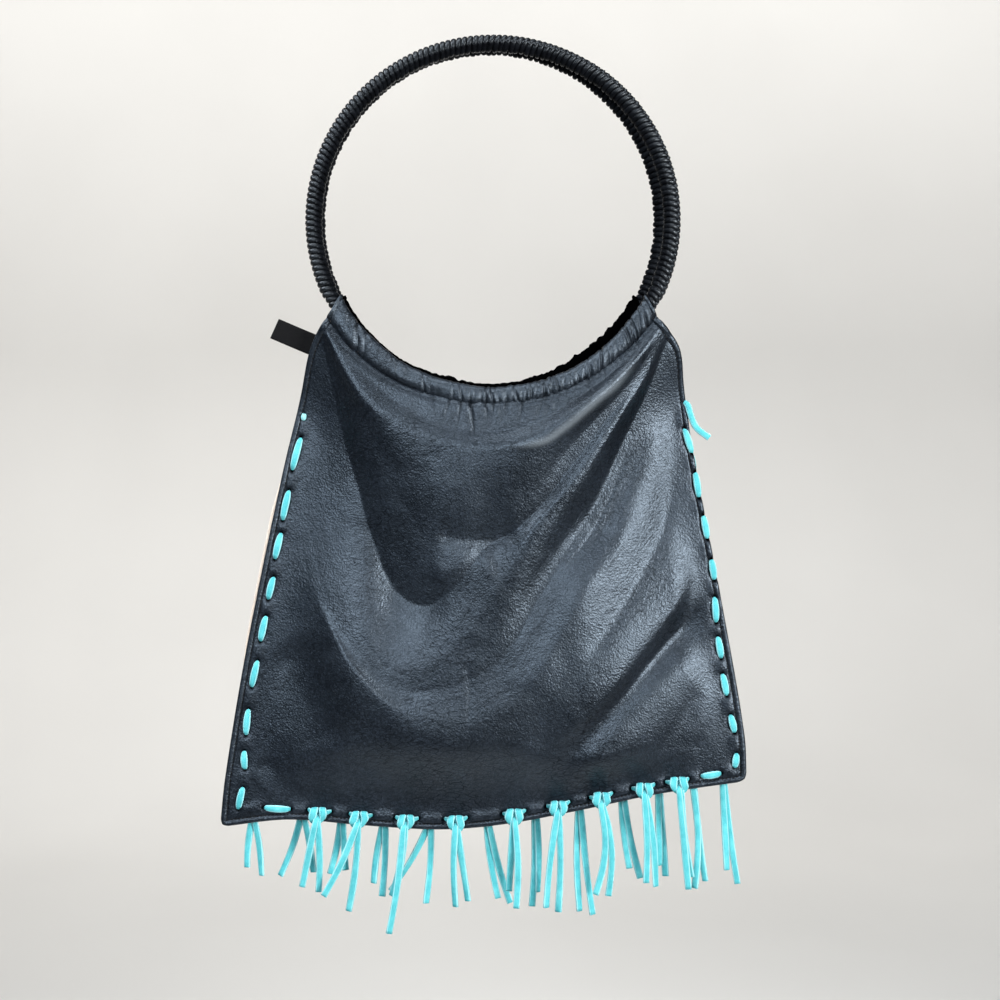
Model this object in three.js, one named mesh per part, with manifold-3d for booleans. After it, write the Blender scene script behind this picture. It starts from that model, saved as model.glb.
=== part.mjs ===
// A soft leather handbag that hangs by two round cord-wound handles, with a laced edge and a knotted fringe.
// Millimetres, +Z up, front towards -Y. The origin is the inside top of the front ring, where the bag hangs.
import * as THREE from 'three';
import { mergeVertices } from 'three/addons/utils/BufferGeometryUtils.js';
import Module from 'manifold-3d';

const wasm = await Module();
wasm.setup();

// Driving dimensions
const RING_SECTION = 3.1; // radius of the wound section
const FRONT_RING = { radius: 79.5, x: 0, innerTop: 0, topY: -3.4, lowY: -12.4 };
const REAR_RING = { radius: 78.4, x: -1.9, innerTop: 0.8, topY: 3.4, lowY: 9.4 };
const FIT_GAP = 0.3; // clearance between pieces that touch on the real bag
const SEAM_GAP = 0.66; // from a casing's outside to the top edge of its panel
const LACE_GAP = 0.35; // from a panel's face to the lace
const LEATHER = 1.2; // panel thickness
const FLANGE_Y = (LEATHER + FIT_GAP) / 2; // middle of each panel where the two are sewn flat together
const CASING_WALL = 1.0;
const CASING_END = THREE.MathUtils.degToRad(28); // the casings stop this far below the rings' middles
const CASING_PUCKER = 0.5; // depth of the gathers
const FRONT_CASING = { gathers: 9, steps: 27, sides: 8 };
const REAR_CASING = { gathers: 6, steps: 18, sides: 7 };
const FRONT_WALL = { front: true, swell: 10, columns: 22, rows: 22 };
const REAR_WALL = { front: false, swell: 7, columns: 10, rows: 9 };
const HEM_LEFT = { x: -122.6, z: -348 };
const HEM_RIGHT = { x: 114, z: -327.4 };
const FLANGE = { left: 9.6, right: 7.6, hem: 9.6 }; // flat sewn border round the panels
const SEAM_INSET = { left: 7.2, right: 5.2, hem: 5.5 }; // from the panels' edge to the lace
const LACE = { width: 3.2, thickness: 1.3 };
const SIDE_STITCHES = 9;
const HEM_STITCH = 9.2; // length of a stitch that carries a tassel
const LABEL = { length: 19.5, width: 9.6, thickness: 0.8, inner: [-80.4, -131.6], tilt: -23 };

// How far each side edge stands out of the straight line from casing to hem
const SIDE_BOW = [
  { drop: 0, left: 0, right: 0 },
  { drop: 0.07, left: 3.2, right: 5.6 },
  { drop: 0.3, left: 6.6, right: 5.8 },
  { drop: 0.65, left: 5.6, right: 5.0 },
  { drop: 0.9, left: 2.6, right: 3.2 },
  { drop: 1, left: 0, right: 0 },
];

// How far the hem hangs below the straight line between its corners
const HEM_SAG = [
  { across: 0, sag: 0 },
  { across: 0.13, sag: -0.6 },
  { across: 0.28, sag: 5.2 },
  { across: 0.42, sag: 9.8 },
  { across: 0.54, sag: 9.9 },
  { across: 0.68, sag: 6.7 },
  { across: 0.83, sag: 2.4 },
  { across: 1, sag: 0 },
];

// Drape of the front panel: each fold follows its path from left to right, and stands out by height
// (or in, if negative), fading over the widths above and below the path.
const FOLDS = [
  { name: 'upper swag', height: 5.5, above: 15, below: 16,
    path: [[-64, -140], [-45, -162], [-14, -175], [18, -174], [42, -156], [68, -131]] },
  { name: 'hollow under the swag', height: -7, above: 22, below: 10,
    path: [[-68, -132], [-60, -175], [-51, -212], [-42, -232], [-19, -238]] },
  { name: 'middle lip', height: 3, above: 10, below: 24,
    path: [[-70, -178], [-58, -218], [-36, -248], [-12, -246], [22, -204]] },
  { name: 'right valley', height: -6, above: 19, below: 15,
    path: [[14, -248], [29, -223], [46, -197], [60, -172], [70, -131]] },
  { name: 'lower swag', height: 6, above: 22, below: 14,
    path: [[-80, -202], [-64, -246], [-25, -296], [-8, -299], [14, -274], [44, -238], [80, -168]] },
  { name: 'lower right valley', height: -4, above: 13, below: 12,
    path: [[31, -317], [51, -291], [69, -271], [93, -248]] },
];

// Plain stitches at the ends of the hem, by their middle and length
const HEM_END_STITCHES = { left: { x: -97, length: 11.5 }, right: { x: 98, length: 7.5 } };

// Fringe: where each tassel's knot sits on the hem, and where its two strips end. bow bends a strip
// sideways in the middle, and lift holds its end out from the hem's plane.
const FRONT_TASSELS = [
  { x: -77.9,
    strips: [
      { x: -85.5, z: -374.4, bow: 0, lift: 0 },
      { x: -78.3, z: -377.1, bow: 0.6, lift: 0 },
    ] },
  { x: -59.4,
    strips: [
      { x: -75.4, z: -377.6, bow: 1, lift: 3 },
      { x: -64.8, z: -385.7, bow: 0.8, lift: 0 },
    ] },
  { x: -38.7,
    strips: [
      { x: -46.4, z: -394.7, bow: 0.8, lift: 2 },
      { x: -45.5, z: -378.9, bow: 1.2, lift: 0 },
    ] },
  { x: -16.7,
    strips: [
      { x: -16.7, z: -383, bow: -0.8, lift: 1 },
      { x: -11.3, z: -381.2, bow: 0, lift: 0 },
    ] },
  { x: 9.5,
    strips: [
      { x: 10.4, z: -383.4, bow: 1, lift: 2 },
      { x: 7.2, z: -376.7, bow: 0, lift: 0 },
    ] },
  { x: 29.3,
    strips: [
      { x: 23.9, z: -383.4, bow: -0.6, lift: 1 },
      { x: 29.3, z: -386.1, bow: 0.8, lift: 0 },
    ] },
  { x: 48.6,
    strips: [
      { x: 45.9, z: -377.6, bow: 3, lift: 1 },
      { x: 51.8, z: -378.9, bow: 2.6, lift: 0 },
    ] },
  { x: 67.5,
    strips: [
      { x: 68.6, z: -372.6, bow: 0.8, lift: 0 },
      { x: 72.9, z: -374.4, bow: 1, lift: 1 },
    ] },
  { x: 82.8,
    strips: [
      { x: 87.3, z: -374.9, bow: 0, lift: 2 },
      { x: 89.1, z: -370.4, bow: -0.8, lift: 0 },
    ] },
];
const REAR_TASSELS = [
  { x: -109.5,
    strips: [
      { x: -111.2, z: -367.2, bow: -0.6, lift: 0 },
      { x: -104.4, z: -370.8, bow: 0.8, lift: 1 },
    ] },
  { x: -86.4,
    strips: [
      { x: -96.3, z: -371.3, bow: 1, lift: 1 },
      { x: -81, z: -369, bow: 0.6, lift: 0 },
    ] },
  { x: -68.6,
    strips: [
      { x: -73.8, z: -370.4, bow: 0.8, lift: 1 },
      { x: -66.5, z: -368, bow: 0, lift: 0 },
    ] },
  { x: -49,
    strips: [
      { x: -54, z: -374.4, bow: -0.6, lift: 0 },
      { x: -50, z: -379.8, bow: 0.6, lift: 0 },
    ] },
  { x: -27.7,
    strips: [
      { x: -46.6, z: -378.5, bow: 1.4, lift: 3 },
      { x: -30.2, z: -383, bow: 0.8, lift: 0 },
    ] },
  { x: -3.6,
    strips: [
      { x: 2.3, z: -381.2, bow: -0.8, lift: 0 },
      { x: 7.7, z: -383.4, bow: -0.8, lift: 2 },
    ] },
  { x: 19.4,
    strips: [
      { x: 17.6, z: -384.8, bow: 0.6, lift: 0 },
      { x: 20.3, z: -378.5, bow: 0.6, lift: 2 },
    ] },
  { x: 39,
    strips: [
      { x: 39.2, z: -387, bow: -1, lift: 0 },
      { x: 45, z: -388.4, bow: -0.6, lift: 1 },
    ] },
  { x: 58,
    strips: [
      { x: 61.7, z: -367.7, bow: -0.8, lift: 0 },
      { x: 66.6, z: -372.2, bow: -0.8, lift: 2 },
    ] },
  { x: 75.2,
    strips: [
      { x: 78.3, z: -371.7, bow: 0, lift: 2 },
      { x: 75, z: -366, bow: 0, lift: 0 },
    ] },
  { x: 90.7,
    strips: [
      { x: 96.3, z: -374, bow: -0.6, lift: 2 },
      { x: 90.9, z: -376.2, bow: 2, lift: 0 },
    ] },
  { x: 104.2,
    strips: [
      { x: 110.7, z: -374.9, bow: -0.6, lift: 1 },
      { x: 105.5, z: -368, bow: 0, lift: 0 },
    ] },
];
const KNOT = { width: 8, above: 3.1, below: 5.4 };
const STRIP = { steps: 3, spread: 2, tuck: 1.2 }; // spread from the knot's middle, tuck into its lower end
const STRIP_FALL = 0.1; // share of a strip's length before it falls back towards the hem's plane
// The first strip of a pair hangs over the second: offsets from the stitch's level, and depth at the tips
const STRIP_LAYER = [
  { atKnot: 0.3, atEnd: 2.9 },
  { atKnot: -1.3, atEnd: 1.3 },
];

// Small mathematics
const MERGE_DISTANCE = 1e-4;
const { lerp, smoothstep } = THREE.MathUtils;
const bump = (distance, width) => Math.exp(-((distance / width) ** 2));

function alongTable(rows, key, at, column) {
  const last = rows.length - 2;
  const row = Math.min(last, Math.max(0, rows.findLastIndex((r) => r[key] <= at)));
  const t = (at - rows[row][key]) / (rows[row + 1][key] - rows[row][key]);
  const slope = (i) => {
    const before = rows[Math.max(0, i - 1)];
    const after = rows[Math.min(rows.length - 1, i + 1)];
    return (after[column] - before[column]) / (after[key] - before[key]);
  };
  const span = rows[row + 1][key] - rows[row][key];
  const [a, b] = [rows[row][column], rows[row + 1][column]];
  const [ma, mb] = [slope(row) * span, slope(row + 1) * span];
  const h = t * t * (3 - 2 * t);
  return a + (b - a) * h + ma * t * (1 - t) ** 2 - mb * t * t * (1 - t);
}

// Closed meshes from rings of points, with the faces turned outwards
function closedMesh(vertices, faces) {
  let volume = 0;
  const cross = new THREE.Vector3();
  for (const [a, b, c] of faces) {
    volume += vertices[a].dot(cross.crossVectors(vertices[b], vertices[c]));
  }
  const outward = volume < 0 ? turned(faces) : faces;
  const geometry = new THREE.BufferGeometry();
  geometry.setAttribute('position', positions(vertices));
  geometry.setIndex(outward.flat());
  return geometry;
}

const quad = (a, b, c, d) => [[a, b, c], [a, c, d]];
const turned = (faces) => faces.map(([a, b, c]) => [a, c, b]);
const positions = (points) => new THREE.Float32BufferAttribute(points.flatMap((v) => v.toArray()), 3);

// A lattice of rows by columns of points: its faces, closed round in either direction if asked
function latticeFaces(rows, columns, index, loopRows = false, loopColumns = false) {
  const faces = [];
  for (let r = 0; r < (loopRows ? rows : rows - 1); r++) {
    for (let c = 0; c < (loopColumns ? columns : columns - 1); c++) {
      const r1 = (r + 1) % rows;
      const c1 = (c + 1) % columns;
      faces.push(...quad(index(r, c), index(r, c1), index(r1, c1), index(r1, c)));
    }
  }
  return faces;
}

// A ribbon with a rectangular section, mitred where its path bends
function ribbon(points, across, width, thickness) {
  const vertices = [];
  points.forEach((point, i) => {
    const into = point.clone().sub(points[Math.max(0, i - 1)]).normalize();
    const out = points[Math.min(points.length - 1, i + 1)].clone().sub(point).normalize();
    const first = i === 0 ? out : into;
    const second = i === points.length - 1 ? into : out;
    const upFirst = first.clone().cross(across[i]).normalize();
    const upSecond = second.clone().cross(across[i]).normalize();
    const up = upFirst.clone().add(upSecond).normalize();
    const half = thickness / 2 / up.dot(upFirst);
    for (const [w, h] of [[-1, -1], [1, -1], [1, 1], [-1, 1]]) {
      vertices.push(point.clone().addScaledVector(across[i], w * width / 2).addScaledVector(up, h * half));
    }
  });
  const corner = (r, c) => r * 4 + c;
  const end = (points.length - 1) * 4;
  const faces = latticeFaces(points.length, 4, corner, false, true);
  faces.push([0, 2, 1], [0, 3, 2], [end, end + 1, end + 2], [end, end + 2, end + 3]);
  return closedMesh(vertices, faces);
}

// Joins and cuts
function toSolid(geometry) {
  const bare = geometry.clone();
  bare.deleteAttribute('normal');
  bare.deleteAttribute('uv');
  const merged = mergeVertices(bare, MERGE_DISTANCE);
  return new wasm.Manifold(new wasm.Mesh({
    numProp: 3,
    vertProperties: new Float32Array(merged.attributes.position.array),
    triVerts: new Uint32Array(merged.index.array),
  }));
}

function toGeometry(solid) {
  const mesh = solid.getMesh();
  const geometry = new THREE.BufferGeometry();
  geometry.setAttribute('position', new THREE.BufferAttribute(mesh.vertProperties, 3));
  geometry.setIndex(new THREE.BufferAttribute(mesh.triVerts, 1));
  return geometry;
}

const boxSolid = (low, high) => {
  const size = high.map((value, i) => value - low[i]);
  const box = new THREE.BoxGeometry(...size);
  box.translate(...low.map((value, i) => value + size[i] / 2));
  return toSolid(box);
};

// Rings: each leans a little, so that the bag's mouth stands open below the hang point
const RING_SIDES = 8;
const RING_STEPS = 40;
function ringFrame(ring) {
  const lean = Math.asin((ring.topY - ring.lowY) / (2 * ring.radius));
  const up = new THREE.Vector3(0, Math.sin(lean), Math.cos(lean));
  const right = new THREE.Vector3(1, 0, 0);
  const face = right.clone().cross(up);
  const top = new THREE.Vector3(ring.x, ring.topY, ring.innerTop + RING_SECTION);
  return { right, up, face, centre: top.addScaledVector(up, -ring.radius) };
}

function ringMesh(ring) {
  const { right, up, face, centre } = ringFrame(ring);
  const mesh = new THREE.Mesh(new THREE.TorusGeometry(ring.radius, RING_SECTION, RING_SIDES, RING_STEPS));
  mesh.quaternion.setFromRotationMatrix(new THREE.Matrix4().makeBasis(right, up, face));
  mesh.position.copy(centre);
  return mesh;
}

const outwards = ({ right, up }, angle) =>
  right.clone().multiplyScalar(Math.cos(angle)).addScaledVector(up, Math.sin(angle));

const casingAngle = (t) => lerp(Math.PI + CASING_END, 2 * Math.PI - CASING_END, t);

// A casing is a tube of leather gathered round the lower part of its ring
const CASING_BORE = RING_SECTION + FIT_GAP;
const CASING_REACH = CASING_BORE + CASING_WALL;
const casingGathers = (t, gathers) => CASING_PUCKER * (0.5 - 0.5 * Math.cos(2 * Math.PI * gathers * t));

function casingGeometry(ring, { gathers, steps, sides }) {
  const frame = ringFrame(ring);
  const vertices = [];
  for (let i = 0; i <= steps; i++) {
    const t = i / steps;
    const out = outwards(frame, casingAngle(t));
    const middle = frame.centre.clone().addScaledVector(out, ring.radius);
    for (const layer of ['outside', 'inside']) {
      for (let j = 0; j < sides; j++) {
        const turn = (2 * Math.PI * j) / sides;
        // The gathers sink in on the face and the top, and leave the edge next to the panel round
        const free = 0.5 - 0.5 * Math.cos(turn);
        const wall = CASING_REACH - casingGathers(t, gathers) * free;
        const reach = layer === 'outside' ? wall : CASING_BORE / Math.cos(Math.PI / sides);
        vertices.push(middle.clone().addScaledVector(out, reach * Math.cos(turn))
          .addScaledVector(frame.face, reach * Math.sin(turn)));
      }
    }
  }
  const row = 2 * sides;
  const outside = latticeFaces(steps + 1, sides, (r, c) => r * row + c, false, true);
  const inside = latticeFaces(steps + 1, sides, (r, c) => r * row + sides + c, false, true);
  const firstEnd = latticeFaces(2, sides, (r, c) => r * sides + c, false, true);
  const lastEnd = latticeFaces(2, sides, (r, c) => steps * row + r * sides + c, false, true);
  return closedMesh(vertices, [...outside, ...turned(inside), ...turned(firstEnd), ...lastEnd]);
}

// Panel outline: a patch between the casing above, the two sides and the hem
const PANEL_TOP = CASING_REACH + SEAM_GAP;
const lowerLine = (ring, t) => {
  const frame = ringFrame(ring);
  return frame.centre.clone().addScaledVector(outwards(frame, casingAngle(t)), ring.radius + PANEL_TOP);
};

const flat = (x, z) => new THREE.Vector2(x, z);

function outline(ring) {
  const top = (u) => {
    const point = lowerLine(ring, u);
    return flat(point.x, point.z);
  };
  const side = (name, v) => {
    const [from, to] = name === 'left' ? [top(0), HEM_LEFT] : [top(1), HEM_RIGHT];
    const bow = alongTable(SIDE_BOW, 'drop', v, name) * (name === 'left' ? -1 : 1);
    return flat(lerp(from.x, to.x, v) + bow, lerp(from.y, to.z, v));
  };
  const hem = (u) => flat(
    lerp(HEM_LEFT.x, HEM_RIGHT.x, u),
    lerp(HEM_LEFT.z, HEM_RIGHT.z, u) - alongTable(HEM_SAG, 'across', u, 'sag'),
  );
  const at = (u, v) => {
    const ends = [top(0), top(1), hem(0), hem(1)];
    const blend = (key) => {
      const down = lerp(top(u)[key], hem(u)[key], v);
      const over = lerp(side('left', v)[key], side('right', v)[key], u);
      const corners = lerp(lerp(ends[0][key], ends[1][key], u), lerp(ends[2][key], ends[3][key], u), v);
      return down + over - corners;
    };
    return flat(blend('x'), blend('y'));
  };
  return { top, side, hem, at };
}

// Distance from a fold's path, positive above it, with the share of the path that has been passed
const FOLD_STEPS = 28;
const FOLD_FADE = { start: 0.25, end: 0.2 }; // shares of a fold's path where it comes in and dies out
const foldCurves = FOLDS.map((fold) => {
  const curve = new THREE.SplineCurve(fold.path.map(([x, z]) => flat(x, z)));
  return { ...fold, line: curve.getSpacedPoints(FOLD_STEPS) };
});

function foldDepth(x, z) {
  let depth = 0;
  for (const fold of foldCurves) {
    let nearest = Infinity;
    let share = 0;
    let height = 0;
    fold.line.slice(1).forEach((end, i) => {
      const start = fold.line[i];
      const run = end.clone().sub(start);
      const from = flat(x, z).sub(start);
      const t = THREE.MathUtils.clamp(from.dot(run) / run.lengthSq(), 0, 1);
      const off = from.clone().addScaledVector(run, -t).length();
      if (off < nearest) {
        nearest = off;
        share = (i + t) / FOLD_STEPS;
        height = run.cross(from);
      }
    });
    const fade = smoothstep(share, 0, FOLD_FADE.start) * smoothstep(1 - share, 0, FOLD_FADE.end);
    depth += fold.height * fade * bump(nearest, height > 0 ? fold.above : fold.below);
  }
  return depth;
}

// A panel: a wall of even thickness that leaves its casing, swells over the pocket and ends in a flat border
const BORDER_ROWS = 0.05; // share of the height in which the casing's ends run into the side seams
const SWELL_WIDTH = 62; // distance from the flat border to the full swell
const SWELL_RISE = 0.9; // lifts the fullest part of the swell a little above the middle
const RING_HOLD = 0.1; // share of the height over which a panel keeps its ring's depth
const FOLD_TOP = 0.12; // share of the height in which the folds come out of the casing
const swelling = (distance) => 1 - (1 - THREE.MathUtils.clamp(distance / SWELL_WIDTH, 0, 1)) ** 2;
function panelGeometry(ring, { front, swell, columns, rows }) {
  const shape = outline(ring);
  const side = front ? -1 : 1;
  const share = (i, count, low, high, total) => {
    if (i === 0) return 0;
    if (i === count) return 1;
    return lerp(low, total - high, (i - 1) / (count - 2)) / total;
  };
  const grid = [];
  for (let j = 0; j <= rows; j++) {
    for (let i = 0; i <= columns; i++) {
      const across = i / columns;
      const drop = shape.top(across).distanceTo(shape.hem(across));
      const v = j === rows ? 1 : lerp(0, 1 - FLANGE.hem / drop, j / (rows - 1));
      const width = shape.side('left', v).distanceTo(shape.side('right', v));
      const u = share(i, columns, FLANGE.left, FLANGE.right, width);
      const place = shape.at(u, v);
      const ringDepth = Math.abs(lowerLine(ring, u).y);
      const inset = Math.min(u * width - FLANGE.left, (1 - u) * width - FLANGE.right);
      const sideRise = swelling(inset);
      const seamRise = lerp(1, sideRise, smoothstep(v, 0, BORDER_ROWS));
      const hemRise = swelling((1 - v) * drop - FLANGE.hem);
      const body = ringDepth * (1 - smoothstep(v, RING_HOLD, 1)) + swell * Math.sin(Math.PI * v ** SWELL_RISE);
      const folds = front ? foldDepth(place.x, place.y) * sideRise * smoothstep(v, 0, FOLD_TOP) : 0;
      const depth = FLANGE_Y + (body - FLANGE_Y + folds) * seamRise * hemRise;
      grid.push(new THREE.Vector3(place.x, side * (v === 0 ? ringDepth : depth), place.y));
    }
  }
  return thickened(grid, columns + 1, rows + 1, LEATHER);
}

// The wall of a lattice of points: both faces and the rim
function thickened(grid, columns, rows, thickness) {
  const middle = openLattice(grid, columns, rows);
  middle.computeVertexNormals();
  const normals = middle.attributes.normal;
  const count = grid.length;
  const vertices = [1, -1].flatMap((face) => grid.map((point, i) => {
    const normal = new THREE.Vector3().fromBufferAttribute(normals, i);
    return point.clone().addScaledVector(normal, (face * thickness) / 2);
  }));
  const near = latticeFaces(rows, columns, (r, c) => r * columns + c);
  const far = turned(near).map((face) => face.map((corner) => count + corner));
  const rim = [];
  const wall = (a, b) => rim.push(...quad(a, count + a, count + b, b));
  for (let c = 0; c < columns - 1; c++) {
    wall(c, c + 1);
    wall((rows - 1) * columns + c + 1, (rows - 1) * columns + c);
  }
  for (let r = 0; r < rows - 1; r++) {
    wall((r + 1) * columns, r * columns);
    wall(r * columns + columns - 1, (r + 1) * columns + columns - 1);
  }
  return closedMesh(vertices, [...near, ...far, ...rim]);
}

function openLattice(grid, columns, rows) {
  const geometry = new THREE.BufferGeometry();
  geometry.setAttribute('position', positions(grid));
  geometry.setIndex(latticeFaces(rows, columns, (r, c) => r * columns + c).flat());
  return geometry;
}

// The lace: one running stitch down the left side, along the hem and up the right side
const seam = outline(FRONT_RING);
const FLAT_LEVEL = FLANGE_Y + LEATHER / 2 + LACE_GAP + LACE.thickness / 2;
const KNOT_LEVEL = FLAT_LEVEL + LACE.thickness + FIT_GAP;

const hemShare = (x) => (x - HEM_LEFT.x) / (HEM_RIGHT.x - HEM_LEFT.x);
const hemHole = (x) => flat(x, seam.hem(hemShare(x)).y + SEAM_INSET.hem);
const sideHole = (name, v) => {
  const inset = name === 'left' ? SEAM_INSET.left : -SEAM_INSET.right;
  return seam.side(name, v).add(flat(inset, 0));
};

// Where the side stitches start and end, as shares of the way from casing to hem
const SIDE_RUN = {
  left: { start: 0.247, pitch: 0.0845, stitch: 0.047, loose: 0.205 },
  right: { start: 0.223, pitch: 0.0855, stitch: 0.047, loose: 0.175 },
};

function laceStitches() {
  const stitches = [];
  const sideRun = (name) => Array.from({ length: SIDE_STITCHES }, (_, i) => {
    const { start, pitch, stitch } = SIDE_RUN[name];
    return [sideHole(name, start + i * pitch), sideHole(name, start + i * pitch + stitch)];
  });
  const hemRun = (x, length) => [hemHole(x - length / 2), hemHole(x + length / 2)];
  const { left, right } = HEM_END_STITCHES;
  for (const holes of sideRun('left')) stitches.push({ holes, level: FLAT_LEVEL });
  stitches.push({ holes: hemRun(left.x, left.length), level: FLAT_LEVEL });
  for (const { x } of FRONT_TASSELS) stitches.push({ holes: hemRun(x, HEM_STITCH), level: KNOT_LEVEL });
  stitches.push({ holes: hemRun(right.x, right.length), level: FLAT_LEVEL });
  for (const holes of sideRun('right').reverse()) {
    stitches.push({ holes: holes.reverse(), level: FLAT_LEVEL });
  }
  return stitches;
}

const TAIL = [[3.2, -1.6, -5], [6.2, -2.2, -12], [10.4, -3.2, -17]]; // the loose end, from its last hole

function lacePath() {
  const stitches = laceStitches();
  const firstHole = sideHole('left', SIDE_RUN.left.loose);
  const lastHole = sideHole('right', SIDE_RUN.right.loose);
  const holes = [firstHole, ...stitches.flatMap((stitch) => stitch.holes), lastHole];
  const hemStart = SIDE_STITCHES;
  const hemEnd = stitches.length - SIDE_STITCHES;
  const points = [];
  const across = [];
  holes.forEach((hole, i) => {
    const before = holes[Math.max(0, i - 1)];
    const after = holes[Math.min(holes.length - 1, i + 1)];
    const run = hole.clone().sub(before).normalize().add(after.clone().sub(hole).normalize()).normalize();
    const wide = new THREE.Vector3(-run.y, 0, run.x);
    const stitch = Math.min(stitches.length - 1, Math.max(0, Math.floor((i - 1) / 2)));
    const gap = Math.floor(i / 2);
    const frontLevel = -(i === 0 || i === holes.length - 1 ? FLAT_LEVEL : stitches[stitch].level);
    const rearLevel = gap >= hemStart && gap <= hemEnd ? KNOT_LEVEL : FLAT_LEVEL;
    const levels = i % 2 === 0 ? [frontLevel, rearLevel] : [rearLevel, frontLevel];
    for (const level of levels) {
      points.push(new THREE.Vector3(hole.x, level, hole.y));
      across.push(wide);
    }
  });
  const end = points.at(-1);
  for (const [x, y, z] of TAIL) {
    points.push(end.clone().add(new THREE.Vector3(x, y, z)));
    across.push(new THREE.Vector3(-z, 0, x).normalize().negate());
  }
  return { points, across };
}

function laceGeometry(spare) {
  const { points, across } = lacePath();
  return ribbon(points, across, LACE.width + 2 * spare, LACE.thickness + 2 * spare);
}

// A tassel: a strip looped round a hem stitch, with its two ends hanging
function stripGeometry(start, strip, side, order) {
  const { steps } = STRIP;
  const points = [];
  const across = [];
  const outAt = KNOT_LEVEL + STRIP_LAYER[order].atKnot;
  const hangAt = STRIP_LAYER[order].atEnd;
  for (let i = 0; i <= steps; i++) {
    const t = i / steps;
    const x = lerp(start.x, strip.x, t) + strip.bow * Math.sin(Math.PI * t);
    const y = side * lerp(outAt, hangAt + strip.lift, smoothstep(t, STRIP_FALL, 1));
    points.push(new THREE.Vector3(x, y, lerp(start.y, strip.z, t)));
  }
  points.forEach((point, i) => {
    const run = points[Math.min(steps, i + 1)].clone().sub(points[Math.max(0, i - 1)]);
    across.push(new THREE.Vector3(-run.z, 0, run.x).normalize());
  });
  return ribbon(points, across, LACE.width, LACE.thickness);
}

function tasselGeometry({ x, strips }, side, laceRoom) {
  const stitch = hemHole(x);
  const near = FLANGE_Y + LEATHER / 2 + FIT_GAP;
  const far = 2 * KNOT_LEVEL - near;
  const depths = (from, to) => [side * from, side * to].sort((a, b) => a - b);
  const [low, high] = depths(near, far);
  const loop = boxSolid(
    [x - KNOT.width / 2, low, stitch.y - KNOT.below],
    [x + KNOT.width / 2, high, stitch.y + KNOT.above],
  );
  let tassel = loop.subtract(laceRoom);
  strips.forEach((strip, order) => {
    const start = flat(x + (order === 0 ? -1 : 1) * STRIP.spread, stitch.y - KNOT.below + STRIP.tuck);
    tassel = tassel.add(toSolid(stripGeometry(start, strip, side, order)));
  });
  return toGeometry(tassel);
}

// The label: a folded tab caught in the left seam
function labelGeometry(spare) {
  const tab = new THREE.BoxGeometry(
    LABEL.length + 2 * spare,
    LABEL.thickness + 2 * spare,
    LABEL.width + 2 * spare,
  );
  tab.translate(-LABEL.length / 2, 0, 0);
  tab.rotateY(THREE.MathUtils.degToRad(-LABEL.tilt));
  tab.translate(LABEL.inner[0], 0, LABEL.inner[1]);
  return tab;
}

// Assembly
const material = (color, roughness) => new THREE.MeshStandardMaterial({ color, roughness, metalness: 0 });
const cord = material(0x15161a, 0.4);
const leather = material(0x24282c, 0.45);
const cloth = material(0xd9cdbd, 0.9);
const suede = material(0x5fe0da, 0.95);
const tape = material(0x101114, 0.8);

const bag = new THREE.Group();
function place(name, shape, finish) {
  const mesh = shape.isMesh ? shape : new THREE.Mesh(shape);
  mesh.name = name;
  mesh.material = finish;
  bag.add(mesh);
}

const laceRoom = toSolid(laceGeometry(FIT_GAP));
const labelRoom = toSolid(labelGeometry(FIT_GAP));
const pierced = (panel) => toGeometry(toSolid(panel).subtract(laceRoom).subtract(labelRoom));

place('front_ring', ringMesh(FRONT_RING), cord);
place('rear_ring', ringMesh(REAR_RING), cord);
place('front_casing', casingGeometry(FRONT_RING, FRONT_CASING), leather);
place('rear_casing', casingGeometry(REAR_RING, REAR_CASING), leather);
place('front_panel', pierced(panelGeometry(FRONT_RING, FRONT_WALL)), leather);
place('rear_panel', pierced(panelGeometry(REAR_RING, REAR_WALL)), cloth);
place('edge_lace', laceGeometry(0), suede);
place('label', labelGeometry(0), tape);
FRONT_TASSELS.forEach((row, i) => place(`front_tassel_${i + 1}`, tasselGeometry(row, -1, laceRoom), suede));
REAR_TASSELS.forEach((row, i) => place(`rear_tassel_${i + 1}`, tasselGeometry(row, 1, laceRoom), suede));

export default bag;
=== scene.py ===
"""Looks of a fringed handbag: leather, cloth, wound cord and suede lace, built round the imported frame.

Shapes are worked out in millimetres, +Z up and the front towards -Y, and scaled to metres when made.
"""

import math

import bpy
import numpy as np
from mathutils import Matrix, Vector


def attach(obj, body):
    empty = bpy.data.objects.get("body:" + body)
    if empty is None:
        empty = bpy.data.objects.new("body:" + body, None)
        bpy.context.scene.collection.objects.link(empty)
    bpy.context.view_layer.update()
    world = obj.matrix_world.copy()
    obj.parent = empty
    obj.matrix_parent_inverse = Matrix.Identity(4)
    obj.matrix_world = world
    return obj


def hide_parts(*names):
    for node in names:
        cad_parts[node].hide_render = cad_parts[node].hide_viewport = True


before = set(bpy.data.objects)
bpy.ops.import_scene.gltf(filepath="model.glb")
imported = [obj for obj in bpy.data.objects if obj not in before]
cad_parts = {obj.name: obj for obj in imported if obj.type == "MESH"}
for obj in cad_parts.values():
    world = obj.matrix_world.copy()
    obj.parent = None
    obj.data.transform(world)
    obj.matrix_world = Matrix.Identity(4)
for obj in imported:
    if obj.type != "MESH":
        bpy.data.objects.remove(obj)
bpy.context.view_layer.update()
MM = 0.001
BODY = "root"

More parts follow.
